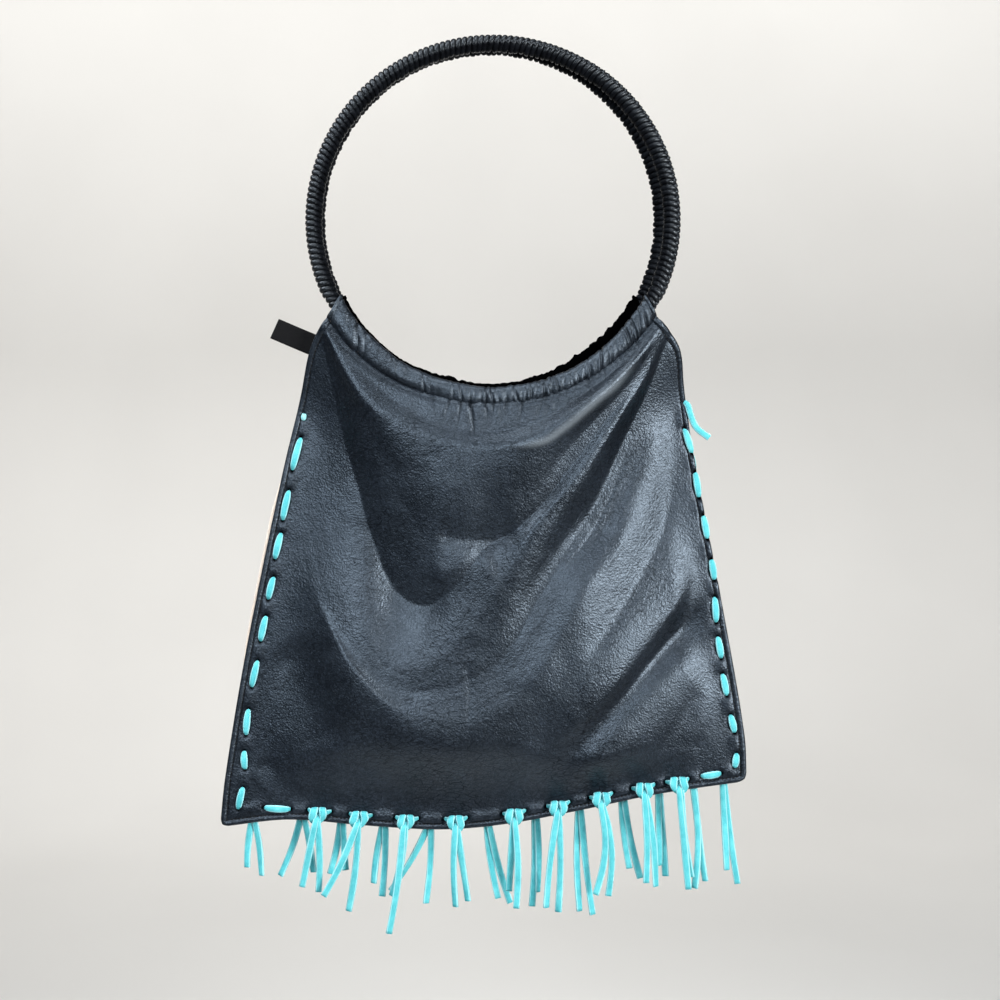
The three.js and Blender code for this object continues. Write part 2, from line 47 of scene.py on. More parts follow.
# Driving dimensions, as in the solids but for the casings' ends and the rear ring's place
RING_SECTION = 3.1
FRONT_RING = {"radius": 79.5, "x": 0.0, "inner_top": 0.0, "top_y": -3.4, "low_y": -12.4, "swell": 0.8}
REAR_RING = {"radius": 78.4, "x": -1.7, "inner_top": 0.8, "top_y": 3.4, "low_y": 9.4, "swell": 0.75}
LEATHER = 1.2
FLANGE_Y = 0.75
CASING_BORE = 3.4
CASING_REACH = 4.4
CASING_END = math.radians(30)
HEM_LEFT = np.array([-122.6, -348.0])
HEM_RIGHT = np.array([114.0, -327.4])
FLANGE = {"left": 9.6, "right": 7.6, "hem": 9.6}
HEM_INSET = 4.8
MEAN_HEIGHT = 215.0
LACE = {"width": 3.2, "thickness": 1.3}
FLAT_LEVEL = 2.35
KNOT_LEVEL = 3.95
HEM_STITCH = 10.4
LABEL = {"length": 19.5, "width": 9.6, "thickness": 0.8, "inner": (-80.4, -131.6), "tilt": 23.0}

# Lace holes of the stitches on the front, as x and z: down the left edge, then up the right edge
LEFT_STITCHES = (
    ((-86.2, -172.9), (-90.2, -187.9)),
    ((-91.6, -196.7), (-94.5, -210.3)),
    ((-95.1, -215.9), (-98.0, -227.8)),
    ((-98.5, -235.6), (-101.0, -245.9)),
    ((-101.9, -253.1), (-104.5, -264.7)),
    ((-105.7, -273.2), (-108.4, -285.3)),
    ((-109.8, -295.0), (-111.0, -306.8)),
    ((-111.7, -313.8), (-111.4, -322.1)),
    ((-112.3, -330.1), (-114.4, -340.0)),
    ((-103.0, -339.3), (-90.9, -340.0)),
)
RIGHT_STITCHES = (
    ((93.4, -325.2), (102.5, -323.8)),
    ((108.4, -321.4), (109.4, -314.9)),
    ((108.5, -305.7), (106.6, -297.6)),
    ((105.0, -289.1), (103.0, -279.1)),
    ((102.5, -272.3), (100.9, -262.5)),
    ((100.2, -256.2), (99.5, -244.6)),
    ((99.4, -237.2), (98.0, -227.6)),
    ((96.3, -218.8), (94.3, -207.9)),
    ((92.5, -200.3), (90.7, -188.4)),
    ((89.4, -180.3), (85.8, -168.9)),
)
LACE_START = (-84.8, -164.0)
LACE_END = (86.0, -157.5)

# How far each side edge stands out of the straight line from casing to hem: drop, left, right
SIDE_BOW = np.array([
    (0.0, 0.0, 0.0),
    (0.03, 3.4, 4.7),
    (0.07, 5.4, 8.4),
    (0.14, 5.7, 7.7),
    (0.3, 6.6, 6.0),
    (0.65, 5.6, 5.0),
    (0.9, 2.6, 3.2),
    (1.0, 0.0, 0.0),
])

# How far the hem hangs below the straight line between its corners: share across, sag
HEM_SAG = np.array([
    (0.0, 0.0),
    (0.13, -0.6),
    (0.28, 5.2),
    (0.42, 9.8),
    (0.54, 9.9),
    (0.68, 6.7),
    (0.83, 2.4),
    (1.0, 0.0),
])

# Drape of the front about the ring's centre, in lines from the seam outwards. Each row gives the angle from
# straight down, positive to the right, the distance from the centre, and how far the line stands out
FRONT_DRAPE = (
    ("seam", "round", (
        (-62, 84, 12.8), (-40, 84, 14.1), (-20, 84, 14.9), (0, 84, 15.3), (20, 84, 14.9), (40, 84, 14.0),
        (62, 84, 12.4))),
    ("seam valley", "crisp", (
        (-58, 86, 12.4), (-40, 89.5, 14.0), (-20, 93, 15.2), (0, 95, 15.4), (12, 92.5, 15.2),
        (23, 88.4, 14.6), (37, 86.6, 14.0), (52, 86, 12.6), (62, 85.8, 11.8))),
    ("upper swag", "round", (
        (-58, 88, 12.8), (-40, 95.5, 15.2), (-25, 101, 16.8), (0, 103, 17.8), (12, 99, 18.8),
        (23, 94, 18.6), (37, 90, 17.0), (52, 88, 13.8), (62, 87.2, 12.4))),
    ("belly", "round", (
        (-58, 89.6, 12.0), (-50, 92.5, 12.2), (-40, 99.5, 13.0), (-28, 112, 13.2), (-20, 129, 12.6),
        (-14.5, 142, 12.2), (-9.5, 154, 12.6), (-6, 153, 13.2), (-2, 141, 13.4), (3, 133, 14.0),
        (8, 125, 14.4), (17, 110, 14.3), (28, 99.5, 14.2),
        (40, 94.4, 14.0), (52, 90, 13.2), (62, 88.6, 12.3))),
    ("hollow", "crisp", (
        (-58, 91.4, 11.2), (-50, 96, 10.2), (-40, 108, 9.2), (-28, 130, 8.2), (-20, 154, 7.4),
        (-14.5, 171, 7.4), (-9.5, 174, 9.4), (-6, 164, 11.6), (-2, 148, 11.8), (3, 140, 12.4),
        (8, 132, 12.8), (17, 116, 13.8), (28, 103.5, 13.8),
        (40, 96.6, 13.7), (52, 91.4, 12.8), (62, 90, 12.2))),
    ("shoulder", "round", (
        (-58, 93.5, 10.8), (-50, 102, 10.2), (-36, 134, 9.8), (-24, 172, 10.6), (-17.5, 191, 11.6),
        (-12, 203, 12.6), (-6, 194, 13.2), (0, 168, 13.6), (8, 138, 14.8), (21, 116.5, 15.0),
        (33, 103.4, 14.6), (41, 98.6, 13.8), (52, 92.8, 12.4), (62, 91.4, 12.0))),
    ("right valley", "round", (
        (-58, 97, 10.8), (-50, 107, 10.2), (-36, 144, 10.2), (-24, 182, 11.6), (-12, 212, 13.2),
        (0, 196, 13.0), (6, 170, 11.2), (11.5, 153, 9.6), (19, 137, 8.4), (26, 122, 7.8),
        (33, 111.5, 8.2), (42, 102.6, 9.6), (52, 95.6, 11.0), (62, 93, 11.4))),
    ("valley foot", "round", (
        (-58, 100, 10.7), (-50, 111, 10.2), (-36, 148, 10.4), (-24, 185.5, 12.2), (-12, 216, 14.0),
        (0, 206, 13.6), (6, 182, 12.2), (11.5, 162, 10.7), (19, 145, 9.1), (26, 130, 8.6),
        (33, 119, 8.9), (42, 108, 10.0), (52, 99, 11.1), (62, 94.6, 11.4))),
    ("lower swag", "round", (
        (-58, 103, 10.6), (-50, 115, 10.2), (-35, 153, 10.7), (-29, 178, 11.8), (-24, 189, 12.9),
        (-17, 208, 14.4), (-11.5, 221, 15.0), (-7.5, 227, 15.0), (-3.5, 228, 14.8), (3.4, 212, 14.2),
        (10, 184, 13.2), (15, 170, 12.6), (32, 138, 11.8), (43, 120, 11.6), (57, 99, 11.2), (62, 96, 11.2))),
    ("foot", "round", (
        (-62, 150, 10.0), (-40, 190, 9.8), (-20, 250, 9.6), (0, 265, 9.6), (20, 240, 9.6), (40, 180, 10.8),
        (62, 140, 10.4))),
)
REAR_DRAPE = (
    ("seam", "round", ((-62, 84, 9.6), (0, 84, 12.6), (62, 84, 9.6))),
    ("upper swag", "round", ((-58, 90, 9.6), (-20, 104, 13.6), (20, 104, 13.4), (58, 90, 9.6))),
    ("hollow", "round", ((-58, 96, 9.0), (-20, 150, 10.2), (0, 156, 10.6), (20, 148, 10.2), (58, 95, 9.0))),
    ("lower swag", "round", (
        (-58, 104, 9.0), (-22, 190, 11.6), (0, 214, 12.4), (22, 186, 11.4), (58, 104, 9.0))),
    ("foot", "round", ((-62, 150, 8.0), (0, 265, 8.0), (62, 145, 8.0))),
)

# Smaller folds of the front: height out (or in, if negative), width above and below the path, sharpness, and
# the path from left to right
FRONT_FOLDS = (
    ("crest of the upper swag", 0.7, 3.0, 1.3, 1.8,
     [(6, -178.4), (21, -175.6), (38.8, -162.9), (54.3, -149.6), (65, -137)]),
    ("small crescent", -1.8, 8, 4.5, 1.8, [(-26, -215), (-8, -219), (12, -215)]),
    ("patch below the crescent", 1.2, 7, 9, 2.0, [(-28, -235), (-14, -232), (2, -227)]),
    ("ridge beside the right valley", 1.0, 7, 9, 2.0,
     [(26, -254), (39, -237), (55, -219), (65, -199), (72, -181), (80, -152)]),
    ("thin right valley", -1.1, 6, 5, 1.6, [(38, -276), (64, -238), (77, -210), (88, -180)]),
    ("right ridge", 2.6, 14, 5, 1.8, [(20, -312), (38, -298), (60, -276), (82, -246), (96, -216)]),
    ("lower right valley", -3.0, 6, 9, 1.7, [(22, -334), (42, -307), (57, -290), (77, -266), (112, -236)]),
    ("lower right ridge", 2.2, 9, 18, 2.0, [(34, -325), (52, -307), (74, -285), (96, -267)]),
    ("side hollow", -0.4, 4, 4, 1.8, [(72, -316), (84, -300), (95, -284)]),
    ("side pleat", 0.8, 5, 4, 1.8, [(82, -321), (92, -304), (101, -282)]),
    ("hem crescent", -1.0, 8, 6, 1.8, [(56, -326), (74, -312), (99, -311)]),
    ("lower left valley", -1.8, 12, 14, 2.0, [(-94, -263), (-81, -285), (-70, -314)]),
    ("corner ridge", 1.5, 2.6, 2.6, 1.8, [(-111, -321), (-105, -328), (-99, -335)]),
    ("corner hollow", -1.0, 4, 4, 1.8, [(-105, -317), (-98, -324), (-91, -332)]),
    ("faint upright crease", -0.3, 1.6, 1.6, 1.4, [(-12, -270), (-10, -286), (-11, -301)]),
)
REAR_FOLDS = (
    ("left sling", 1.5, 8, 9, 2.0, [(-76, -150), (-50, -206), (-8, -243)]),
    ("left valley", -1.5, 7, 7, 1.8, [(-84, -172), (-61, -224), (-22, -264)]),
    ("right sling", 1.4, 8, 9, 2.0, [(14, -238), (50, -202), (74, -150)]),
    ("right valley", -1.3, 7, 7, 1.8, [(30, -258), (61, -218), (82, -170)]),
    ("low wave", 1.2, 9, 11, 2.0, [(-72, -296), (-20, -305), (44, -292)]),
    ("right corner wave", -1.2, 8, 8, 1.8, [(46, -322), (74, -296), (98, -264)]),
)

# Crests painted paler as a painted highlight: strength, width, and the path from left to right
HIGHLIGHT_CRESTS = (
    (0.9, 1.3,
     [(6, -178.6), (21.3, -175.8), (30.4, -170.1), (39, -163.1), (47.5, -155.8), (54.5, -149.8), (65, -137)]),
)

# Shares of a path over which a painted crest highlight or a fold fades in and out, and the strip beside an
# edge without folds
HIGHLIGHT_FADE = (0.25, 0.3)
FOLD_FADE = (0.2, 0.18)
FOLD_MARGIN = (6.0, 22.0)

# How strongly the drape stands out about its mean depth
REST_DEPTH = 12.0
FRONT_RELIEF = 1.25
REAR_RELIEF = 1.5
LEAST_SPACING = 1.2

# How far the cloth's left edge shows past the leather's halfway down, and lies inside it elsewhere
REAR_SHOWS = 2.1
REAR_INSIDE = 1.3
REAR_ENDS = (0.05, 0.1)

# Creases below the middle of the front casing: place from the middle, depth, half-width, slant, length
FRONT_CREASES = (
    (-18.5, 0.5, 0.7, 0.1, 7.0),
    (-13.5, 0.6, 0.8, 0.1, 9.0),
    (-9.6, 1.0, 0.9, -0.1, 13.0),
    (-3.5, 0.5, 0.8, -0.2, 7.0),
    (0.6, 0.5, 0.7, 0.2, 6.0),
    (6.0, 0.35, 0.8, 0.3, 6.0),
    (13.0, 0.6, 0.9, 0.3, 8.0),
    (22.0, 0.4, 0.9, 0.5, 7.0),
    (-26.0, 0.4, 0.9, -0.3, 7.0),
)

# Creases that the casing's gathers leave in a panel, as shares of the gather, and their length
CREASE_BELOW = {"depth": 0.35, "slant": 0.3, "length": (2.5, 7)}

# Widths over which a panel swells from its flat sewn edges, at the top and low down or left and right
SIDE_SWELL = {"left": (14.0, 46.0), "right": (24.0, 60.0)}
HEM_SWELL = (32.0, 16.0)
EDGES_MEET = 0.2

# Fringe: knot x, then tip x, tip z, sideways bow and lift of each strip
FRONT_TASSELS = (
    (-77.9, (-85.5, -374.4, 0.0, 0.0), (-78.3, -377.1, 0.6, 0.0)),
    (-59.4, (-75.4, -377.6, 1.0, 3.0), (-64.8, -385.7, 0.8, 0.0)),
    (-38.7, (-46.4, -394.7, 0.8, 2.0), (-45.5, -378.9, 1.2, 0.0)),
    (-16.7, (-16.7, -383.0, -0.8, 1.0), (-11.3, -381.2, 0.0, 0.0)),
    (9.5, (10.4, -383.4, 1.0, 2.0), (7.2, -376.7, 0.0, 0.0)),
    (29.3, (23.9, -383.4, -0.6, 1.0), (29.3, -386.1, 0.8, 0.0)),
    (48.6, (45.9, -377.6, 3.0, 1.0), (51.8, -378.9, 2.6, 0.0)),
    (67.5, (68.6, -372.6, 0.8, 0.0), (72.9, -374.4, 1.0, 1.0)),
    (82.8, (87.3, -374.9, 0.0, 2.0), (89.1, -370.4, -0.8, 0.0)),
)
REAR_TASSELS = (
    (-109.5, (-111.2, -367.2, -0.6, 0.0), (-104.4, -370.8, 0.8, 1.0)),
    (-86.4, (-96.3, -371.3, 1.0, 1.0), (-81.0, -369.0, 0.6, 0.0)),
    (-68.6, (-73.8, -370.4, 0.8, 1.0), (-66.5, -368.0, 0.0, 0.0)),
    (-49.0, (-54.0, -374.4, -0.6, 0.0), (-50.0, -379.8, 0.6, 0.0)),
    (-27.7, (-46.6, -378.5, 1.4, 3.0), (-30.2, -383.0, 0.8, 0.0)),
    (-3.6, (2.3, -381.2, -0.8, 0.0), (7.7, -383.4, -0.8, 2.0)),
    (19.4, (17.6, -384.8, 0.6, 0.0), (20.3, -378.5, 0.6, 2.0)),
    (39.0, (39.2, -387.0, -1.0, 0.0), (45.0, -388.4, -0.6, 1.0)),
    (58.0, (61.7, -367.7, -0.8, 0.0), (66.6, -372.2, -0.8, 2.0)),
    (75.2, (78.3, -371.7, 0.0, 2.0), (75.0, -366.0, 0.0, 0.0)),
    (90.7, (96.3, -374.0, -0.6, 2.0), (90.9, -376.2, 2.0, 0.0)),
    (104.2, (110.7, -374.9, -0.6, 1.0), (105.5, -368.0, 0.0, 0.0)),
)

# Depth of a tassel's first and second strip where it leaves the knot, and at its tip
STRIP_DEPTH = ((6.7, 2.9), (5.6, 1.3))


# Small mathematics
def lerp(a, b, t):
    return a + (b - a) * t


def smoothstep(x, low, high):
    t = np.clip((np.asarray(x, float) - low) / (high - low), 0.0, 1.0)
    return t * t * (3 - 2 * t)


def unit(vectors):
    return vectors / np.linalg.norm(vectors, axis=-1, keepdims=True)


def bell(x, width, sharp=2):
    """1 at 0, falling to nothing on both sides."""
    return np.exp(-(x / width) ** sharp)


def fade_ends(share, ends):
    """0 at both ends of a run, 1 beyond the shares over which it fades in and out."""
    return smoothstep(share, 0, ends[0]) * smoothstep(1 - share, 0, ends[1])


def full_turn(count):
    """Even angles round a circle."""
    return 2 * np.pi * np.arange(count) / count


def along_table(table, at, column=1):
    """Values of a table's column on a smooth curve through its rows, by the keys in the first column."""
    keys, values = table[:, 0], table[:, column]
    rows = np.arange(len(keys))
    before = np.maximum(rows - 1, 0)
    after = np.minimum(rows + 1, len(keys) - 1)
    slopes = (values[after] - values[before]) / (keys[after] - keys[before])
    row = np.clip(np.searchsorted(keys, at, side="right") - 1, 0, len(keys) - 2)
    span = keys[row + 1] - keys[row]
    t = (at - keys[row]) / span
    rise = (values[row + 1] - values[row]) * t * t * (3 - 2 * t)
    bend = slopes[row] * t * (1 - t) ** 2 - slopes[row + 1] * t * t * (1 - t)
    return values[row] + rise + span * bend


def run_length(path):
    """Length along a path up to each of its points."""
    return np.concatenate([[0.0], np.cumsum(np.linalg.norm(np.diff(path, axis=0), axis=1))])


def at_lengths(path, length, at):
    """Points of a path at these lengths along it."""
    return np.stack([np.interp(at, length, column) for column in path.T], axis=1)


def spline(knots, count, fine=24):
    """Evenly spaced points on a smooth curve through the knots."""
    knots = np.asarray(knots, float)
    padded = np.vstack([2 * knots[0] - knots[1], knots, 2 * knots[-1] - knots[-2]])
    t = np.linspace(0, 1, fine)[:, None]
    spans = []
    for a, b, c, d in zip(padded, padded[1:], padded[2:], padded[3:]):
        cubic = (3 * b - a - 3 * c + d) * t ** 3
        square = (2 * a - 5 * b + 4 * c - d) * t ** 2
        spans.append(0.5 * (2 * b + (c - a) * t + square + cubic))
    curve = np.vstack(spans)
    length = run_length(curve[:, :3])
    return at_lengths(curve, length, np.linspace(0, length[-1], count))


class SmoothNoise:
    """Seeded smooth noise from -1 to 1 over a plane, with features about one unit wide."""

    SIZE = 128

    def __init__(self, seed):
        self.table = np.random.default_rng(seed).uniform(-1, 1, (self.SIZE, self.SIZE))

    def at(self, x, y):
        x, y = np.broadcast_arrays(np.asarray(x, float), np.asarray(y, float))
        column, row = np.floor(x).astype(int), np.floor(y).astype(int)
        a, b = smoothstep(x - column, 0, 1), smoothstep(y - row, 0, 1)
        near = lerp(self.corner(row, column), self.corner(row, column + 1), a)
        far = lerp(self.corner(row + 1, column), self.corner(row + 1, column + 1), a)
        return lerp(near, far, b)

    def corner(self, row, column):
        return self.table[row % self.SIZE, column % self.SIZE]


# Meshes
def lattice(rows, columns, loop_rows=False, loop_columns=False):
    """Faces of a lattice of points, closed round in either direction if asked."""
    r = np.arange(rows if loop_rows else rows - 1)
    c = np.arange(columns if loop_columns else columns - 1)
    r0, c0 = np.meshgrid(r, c, indexing="ij")
    r1, c1 = (r0 + 1) % rows, (c0 + 1) % columns
    corners = [r0 * columns + c0, r0 * columns + c1, r1 * columns + c1, r1 * columns + c0]
    return np.stack(corners, axis=-1).reshape(-1, 4)


class Shape:
    """Closed forms gathered into one mesh, with their faces turned outwards and cut edges marked."""

    def __init__(self):
        self.points = []
        self.faces = []
        self.cuts = []
        self.count = 0

    def add(self, points, quads, caps=(), cuts=None):
        points = np.asarray(points, float).reshape(-1, 3)
        a, b, c, d = (points[quads[:, k]] for k in range(4))
        volume = np.sum(a * np.cross(b, c)) + np.sum(a * np.cross(c, d))
        step = 1 if volume > 0 else -1
        self.points.append(points)
        self.faces.extend((quads[:, ::step] + self.count).tolist())
        self.faces.extend((np.asarray(cap)[::step] + self.count).tolist() for cap in caps)
        self.cuts.extend([0.0] * len(quads) if cuts is None else cuts.tolist())
        self.cuts.extend([0.0 if cuts is None else 1.0] * len(caps))
        self.count += len(points)

    def piece(self, name, material, slot, replaces=(), **marks):
        mesh = bpy.data.meshes.new(name)
        mesh.from_pydata((np.vstack(self.points) * MM).tolist(), [], self.faces)
        if any(self.cuts):
            mesh.attributes.new("cut_edge", "FLOAT", "FACE").data.foreach_set("value", self.cuts)
        for mark, values in marks.items():
            mesh.attributes.new(mark, "FLOAT", "POINT").data.foreach_set("value", np.ravel(values))
        mesh.validate()
        mesh.polygons.foreach_set("use_smooth", [True] * len(mesh.polygons))
        mesh.materials.append(material)
        piece = bpy.data.objects.new(name, mesh)
        bpy.context.scene.collection.objects.link(piece)
        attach(piece, BODY)
        for node in replaces:
            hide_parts(node)
        return piece


def add_sweep(shape, path, across, section, cut=None):
    """A closed bar along a path: section gives each corner's place across and up, for all rows or each."""
    path = np.asarray(path, float)
    across = unit(np.asarray(across, float))
    run = unit(np.gradient(path, axis=0))
    up = unit(np.cross(run, across))
    section = np.broadcast_to(section, (len(path),) + np.shape(section)[-2:])
    points = path[:, None] + section[..., :1] * across[:, None] + section[..., 1:] * up[:, None]
    rows, sides = section.shape[:2]
    last = (rows - 1) * sides
    caps = [np.arange(sides)[::-1], np.arange(sides) + last]
    cuts = None if cut is None else np.tile(cut, rows - 1)
    shape.add(points, lattice(rows, sides, loop_columns=True), caps, cuts)


STRIP_CORNERS = np.array([
    (-0.5, -0.2), (-0.5, 0.2), (-0.34, 0.5), (0.0, 0.5), (0.34, 0.5),
    (0.5, 0.2), (0.5, -0.2), (0.34, -0.5), (0.0, -0.5), (-0.34, -0.5),
])
STRIP_CUT = np.array([1.0, 1.0, 0.0, 0.0, 1.0, 1.0, 1.0, 0.0, 0.0, 1.0])


def strip_section(width, thickness, cup=0.0):
    """Section of a flat strip with bevelled cut edges, lifted by cup, for one width or a row of widths."""
    width, thickness = np.asarray(width, float)[..., None], np.asarray(thickness, float)[..., None]
    across = STRIP_CORNERS[:, 0] * width
    up = STRIP_CORNERS[:, 1] * thickness + cup * (2 * STRIP_CORNERS[:, 0]) ** 2
    return np.stack(np.broadcast_arrays(across, up), axis=-1)


# Rings
def ring_frame(ring):
    lean = math.asin((ring["top_y"] - ring["low_y"]) / (2 * ring["radius"]))
    right = np.array([1.0, 0.0, 0.0])
    up = np.array([0.0, math.sin(lean), math.cos(lean)])
    top = np.array([ring["x"], ring["top_y"], ring["inner_top"] + RING_SECTION])
    return right, up, np.cross(right, up), top - ring["radius"] * up


def ring_points(ring, angle, reach, turn):
    """Points round a ring: angle along it, reach and turn round its section, 0 outwards, 90 to the face."""
    right, up, face, centre = ring_frame(ring)
    angle, reach, turn = (value[..., None] for value in np.broadcast_arrays(angle, reach, turn))
    out = np.cos(angle) * right + np.sin(angle) * up
    return centre + out * (ring["radius"] + reach * np.cos(turn)) + face * (reach * np.sin(turn))


# Turns of the cord and the hitches that lock them: sizes, slant and unevenness
WRAP = {"pitch": 2.5, "height": 0.95, "width": 1.26, "slant": 0.2, "steps": 30, "sides": 8,
        "wander": 0.3, "lift": 0.22}
HITCH = {"reach": 2.75, "height": 0.8, "along": 0.75, "round": 1.05, "slant": math.radians(38),
         "wobble": 0.15, "sizes": (0.88, 1.12), "rows": 6, "sides": 8}
HITCH_TURN = (math.radians(38), math.radians(118))
WINDING_STARTS = (-0.47, -0.4)
CORE_STEPS = 120
CORE_SIDES = 10


def ring_swell(ring, angle):
    """How much thicker the winding is than the plain ring: nothing inside the casing."""
    return ring["swell"] * smoothstep(np.sin(angle), *WINDING_STARTS)


def hitch_turn(angle, side):
    """Where the row of hitches lies: outwards on the right, on the face and further in on the left."""
    from_right = smoothstep(np.cos(angle), 0.85, -0.3)
    return side * lerp(*HITCH_TURN, from_right)


def add_wraps(shape, ring, side, rng):
    wraps = round(2 * math.pi * ring["radius"] / WRAP["pitch"])
    k = np.arange(wraps * WRAP["steps"])
    turn = 2 * math.pi * (k % WRAP["steps"]) / WRAP["steps"]
    angle = 2 * math.pi * k / len(k)
    wobble = np.repeat(rng.uniform(-1, 1, (wraps, 2)), WRAP["steps"], axis=0)
    ease = np.sin(turn / 2) ** 2
    lean = WRAP["slant"] * WRAP["pitch"] * np.sin(turn - hitch_turn(angle, side))
    middle = angle + (lean + WRAP["wander"] * wobble[:, 0] * ease) / ring["radius"]
    round_cord = full_turn(WRAP["sides"])
    reach = RING_SECTION + ring_swell(ring, angle) - WRAP["height"] + WRAP["lift"] * wobble[:, 1] * ease
    points = ring_points(
        ring,
        middle[:, None] + WRAP["width"] * np.sin(round_cord) / ring["radius"],
        reach[:, None] + WRAP["height"] * np.cos(round_cord),
        turn[:, None],
    )
    shape.add(points, lattice(len(k), WRAP["sides"], loop_rows=True, loop_columns=True))
    return wraps


def add_hitches(shape, ring, side, wraps, rng):
    rows, sides = HITCH["rows"], HITCH["sides"]
    fall = np.pi * np.arange(rows + 1) / rows
    fall, round_knot = np.meshgrid(fall, full_turn(sides), indexing="ij")
    along = HITCH["along"] * np.sin(fall) * np.cos(round_knot)
    around = HITCH["round"] * np.sin(fall) * np.sin(round_knot)
    for knot in range(wraps):
        angle = 2 * math.pi * (knot + 0.5) / wraps
        tilt = HITCH["slant"] * side + rng.uniform(-HITCH["wobble"], HITCH["wobble"])
        size = rng.uniform(*HITCH["sizes"])
        shift = along * math.cos(tilt) - around * math.sin(tilt)
        roll = along * math.sin(tilt) + around * math.cos(tilt)
        points = ring_points(
            ring,
            angle + size * shift / ring["radius"],
            HITCH["reach"] + ring_swell(ring, angle) + size * HITCH["height"] * np.cos(fall),
            hitch_turn(angle, side) + size * roll / HITCH["reach"],
        )
        shape.add(points, lattice(rows + 1, sides, loop_columns=True))


def wound_ring(name, ring, side, seed, material):
    rng = np.random.default_rng(seed)
    shape = Shape()
    angle = full_turn(CORE_STEPS)[:, None]
    reach = RING_SECTION + ring_swell(ring, angle) - WRAP["height"]
    core = ring_points(ring, angle, reach, full_turn(CORE_SIDES))
    shape.add(core, lattice(CORE_STEPS, CORE_SIDES, loop_rows=True, loop_columns=True))
    wraps = add_wraps(shape, ring, side, rng)
    add_hitches(shape, ring, side, wraps, rng)
    return shape.piece(f"{name}_winding", material, "ring_cord", [name])


# Casings: how square the section is, the cut of the ends, their stitched bead, and the wall
CASING_SQUARE = 2.6
CASING_TILT = math.radians(2.2)
CASING_SHIFT = math.radians(0.8)
CASING_BEAD = {"width": 1.5, "edge": 0.4, "height": 0.32, "groove": 0.35, "groove_width": 0.5}
CASING_SIDES = 56
CASING_INNER_STEPS = 14
LEAST_WALL = 0.35
SEAM_TUCK = 0.6
BACK_SHADE = math.radians(40)
TOP_EDGE = 0.2
TOP_GAP = 0.25

# A gather in a casing: most depth, lean, faintest share, sharpness, and the raised lip beside it
GATHER = {
    "depth": 1.1, "lean": 2.0, "least": 0.2, "sharp": 1.4,
    "lip": 0.35, "lip_away": 2.2, "lip_width": 1.3,
}
# Painted shade in the crease of a gather: how much per millimetre of depth, and the most
GATHER_SHADE = {"rate": 0.6, "most": 0.3}

# Ranges for the gathers along a casing, and how far they keep from its ends
GATHERS = {
    "strength": (0.3, 1.0), "slant": (-0.7, 0.5), "width": (0.4, 0.8), "start": (0.1, 1.5),
    "spread": (0.6, 1.5), "step": (0.45, 1.6), "first": 4.0, "last": 3.0,
}

# Uneven skin of a casing: height, length along it, place in the noise, and turns round it
CASING_LUMPS = ((0.3, 6.5, 0, 1.1), (0.16, 2.6, 40, 1.7), (0.06, 1.1, 9, 3.4))

# How far each casing puffs up on its upper side: share along, height
FRONT_PUFF = np.array([(0.0, 0.0), (1.0, 0.0)])
REAR_PUFF = np.array([
    (0.0, 0.0), (0.26, 0.0), (0.32, 1.9), (0.39, 1.3), (0.5, 0.4),
    (0.6, 0.6), (0.72, 1.4), (0.9, 1.5), (0.97, 0.8), (1.0, 0.2),
])

# The line where a casing is sewn to its panel: share along, drop below the ring's middle
SEAM_LINE = np.array([
    (0.0, 6.6),
    (0.12, 6.0),
    (0.35, 4.1),
    (0.5, 3.2),
    (0.7, 3.6),
    (0.9, 4.3),
    (1.0, 5.0),
])


def casing_arc(ring):
    return ring["radius"] * (math.pi - 2 * CASING_END)


def casing_angle(t, turn=math.pi / 2):
    """Angle along the ring; the ends are cut at a slant, longer on the inside of the ring."""
    slant = CASING_TILT * np.cos(turn) - CASING_SHIFT
    return lerp(math.pi + CASING_END + slant, 2 * math.pi - CASING_END - slant, t)


def casing_form(t):
    """The casing's section, an oval: how far its middle lies below the ring's, and its half-height."""
    drop = np.maximum(along_table(SEAM_LINE, t), CASING_REACH)
    return (drop - CASING_REACH) / 2, (drop + CASING_REACH) / 2


def casing_reach(t, turn):
    """Distance from the ring's middle to the casing's smooth skin, found by halving."""
    middle, half = casing_form(t)
    near, far = np.zeros_like(t + turn), np.full_like(t + turn, 4 * CASING_REACH)
    for _ in range(24):
        reach = (near + far) / 2
        down = np.abs((reach * np.cos(turn) - middle) / half) ** CASING_SQUARE
        out = np.abs(reach * np.sin(turn) / CASING_REACH) ** CASING_SQUARE
        within = down + out < 1
        near, far = np.where(within, reach, near), np.where(within, far, reach)
    return (near + far) / 2


def seam_line(t):
    """Reach and turn of the panel's top edge round the ring's section, just under the casing's skin."""
    low = along_table(SEAM_LINE, t) - SEAM_TUCK
    middle, half = casing_form(t)
    share = np.abs((low - middle) / half) ** CASING_SQUARE
    out = CASING_REACH * (1 - share) ** (1 / CASING_SQUARE) - TOP_EDGE - TOP_GAP
    return np.hypot(low, out), np.arctan2(out, low)


def casing_grooves(rng, length, tight_from, tight, loose):
    """Gathers along a casing: place, depth, half-width, slant, and the turn and spread that it runs over."""
    grooves = []
    at = GATHERS["first"]
    while at < length - GATHERS["last"]:
        gathered = smoothstep(at / length, tight_from - 0.08, tight_from + 0.08)
        if rng.uniform() < 0.6 + 0.4 * gathered:
            strength = GATHER["depth"] * rng.uniform(*GATHERS["strength"]) * lerp(0.8, 1.0, gathered)
            slant = rng.uniform(*GATHERS["slant"]) + 1.2 * (at / length - 0.45)
            width = rng.uniform(*GATHERS["width"]) * lerp(1.6, 1.0, gathered)
            start, spread = rng.uniform(*GATHERS["start"]), rng.uniform(*GATHERS["spread"])
            grooves.append((at, strength, width, slant, start, spread))
        at += lerp(loose, tight, gathered) * rng.uniform(*GATHERS["step"])
    return grooves


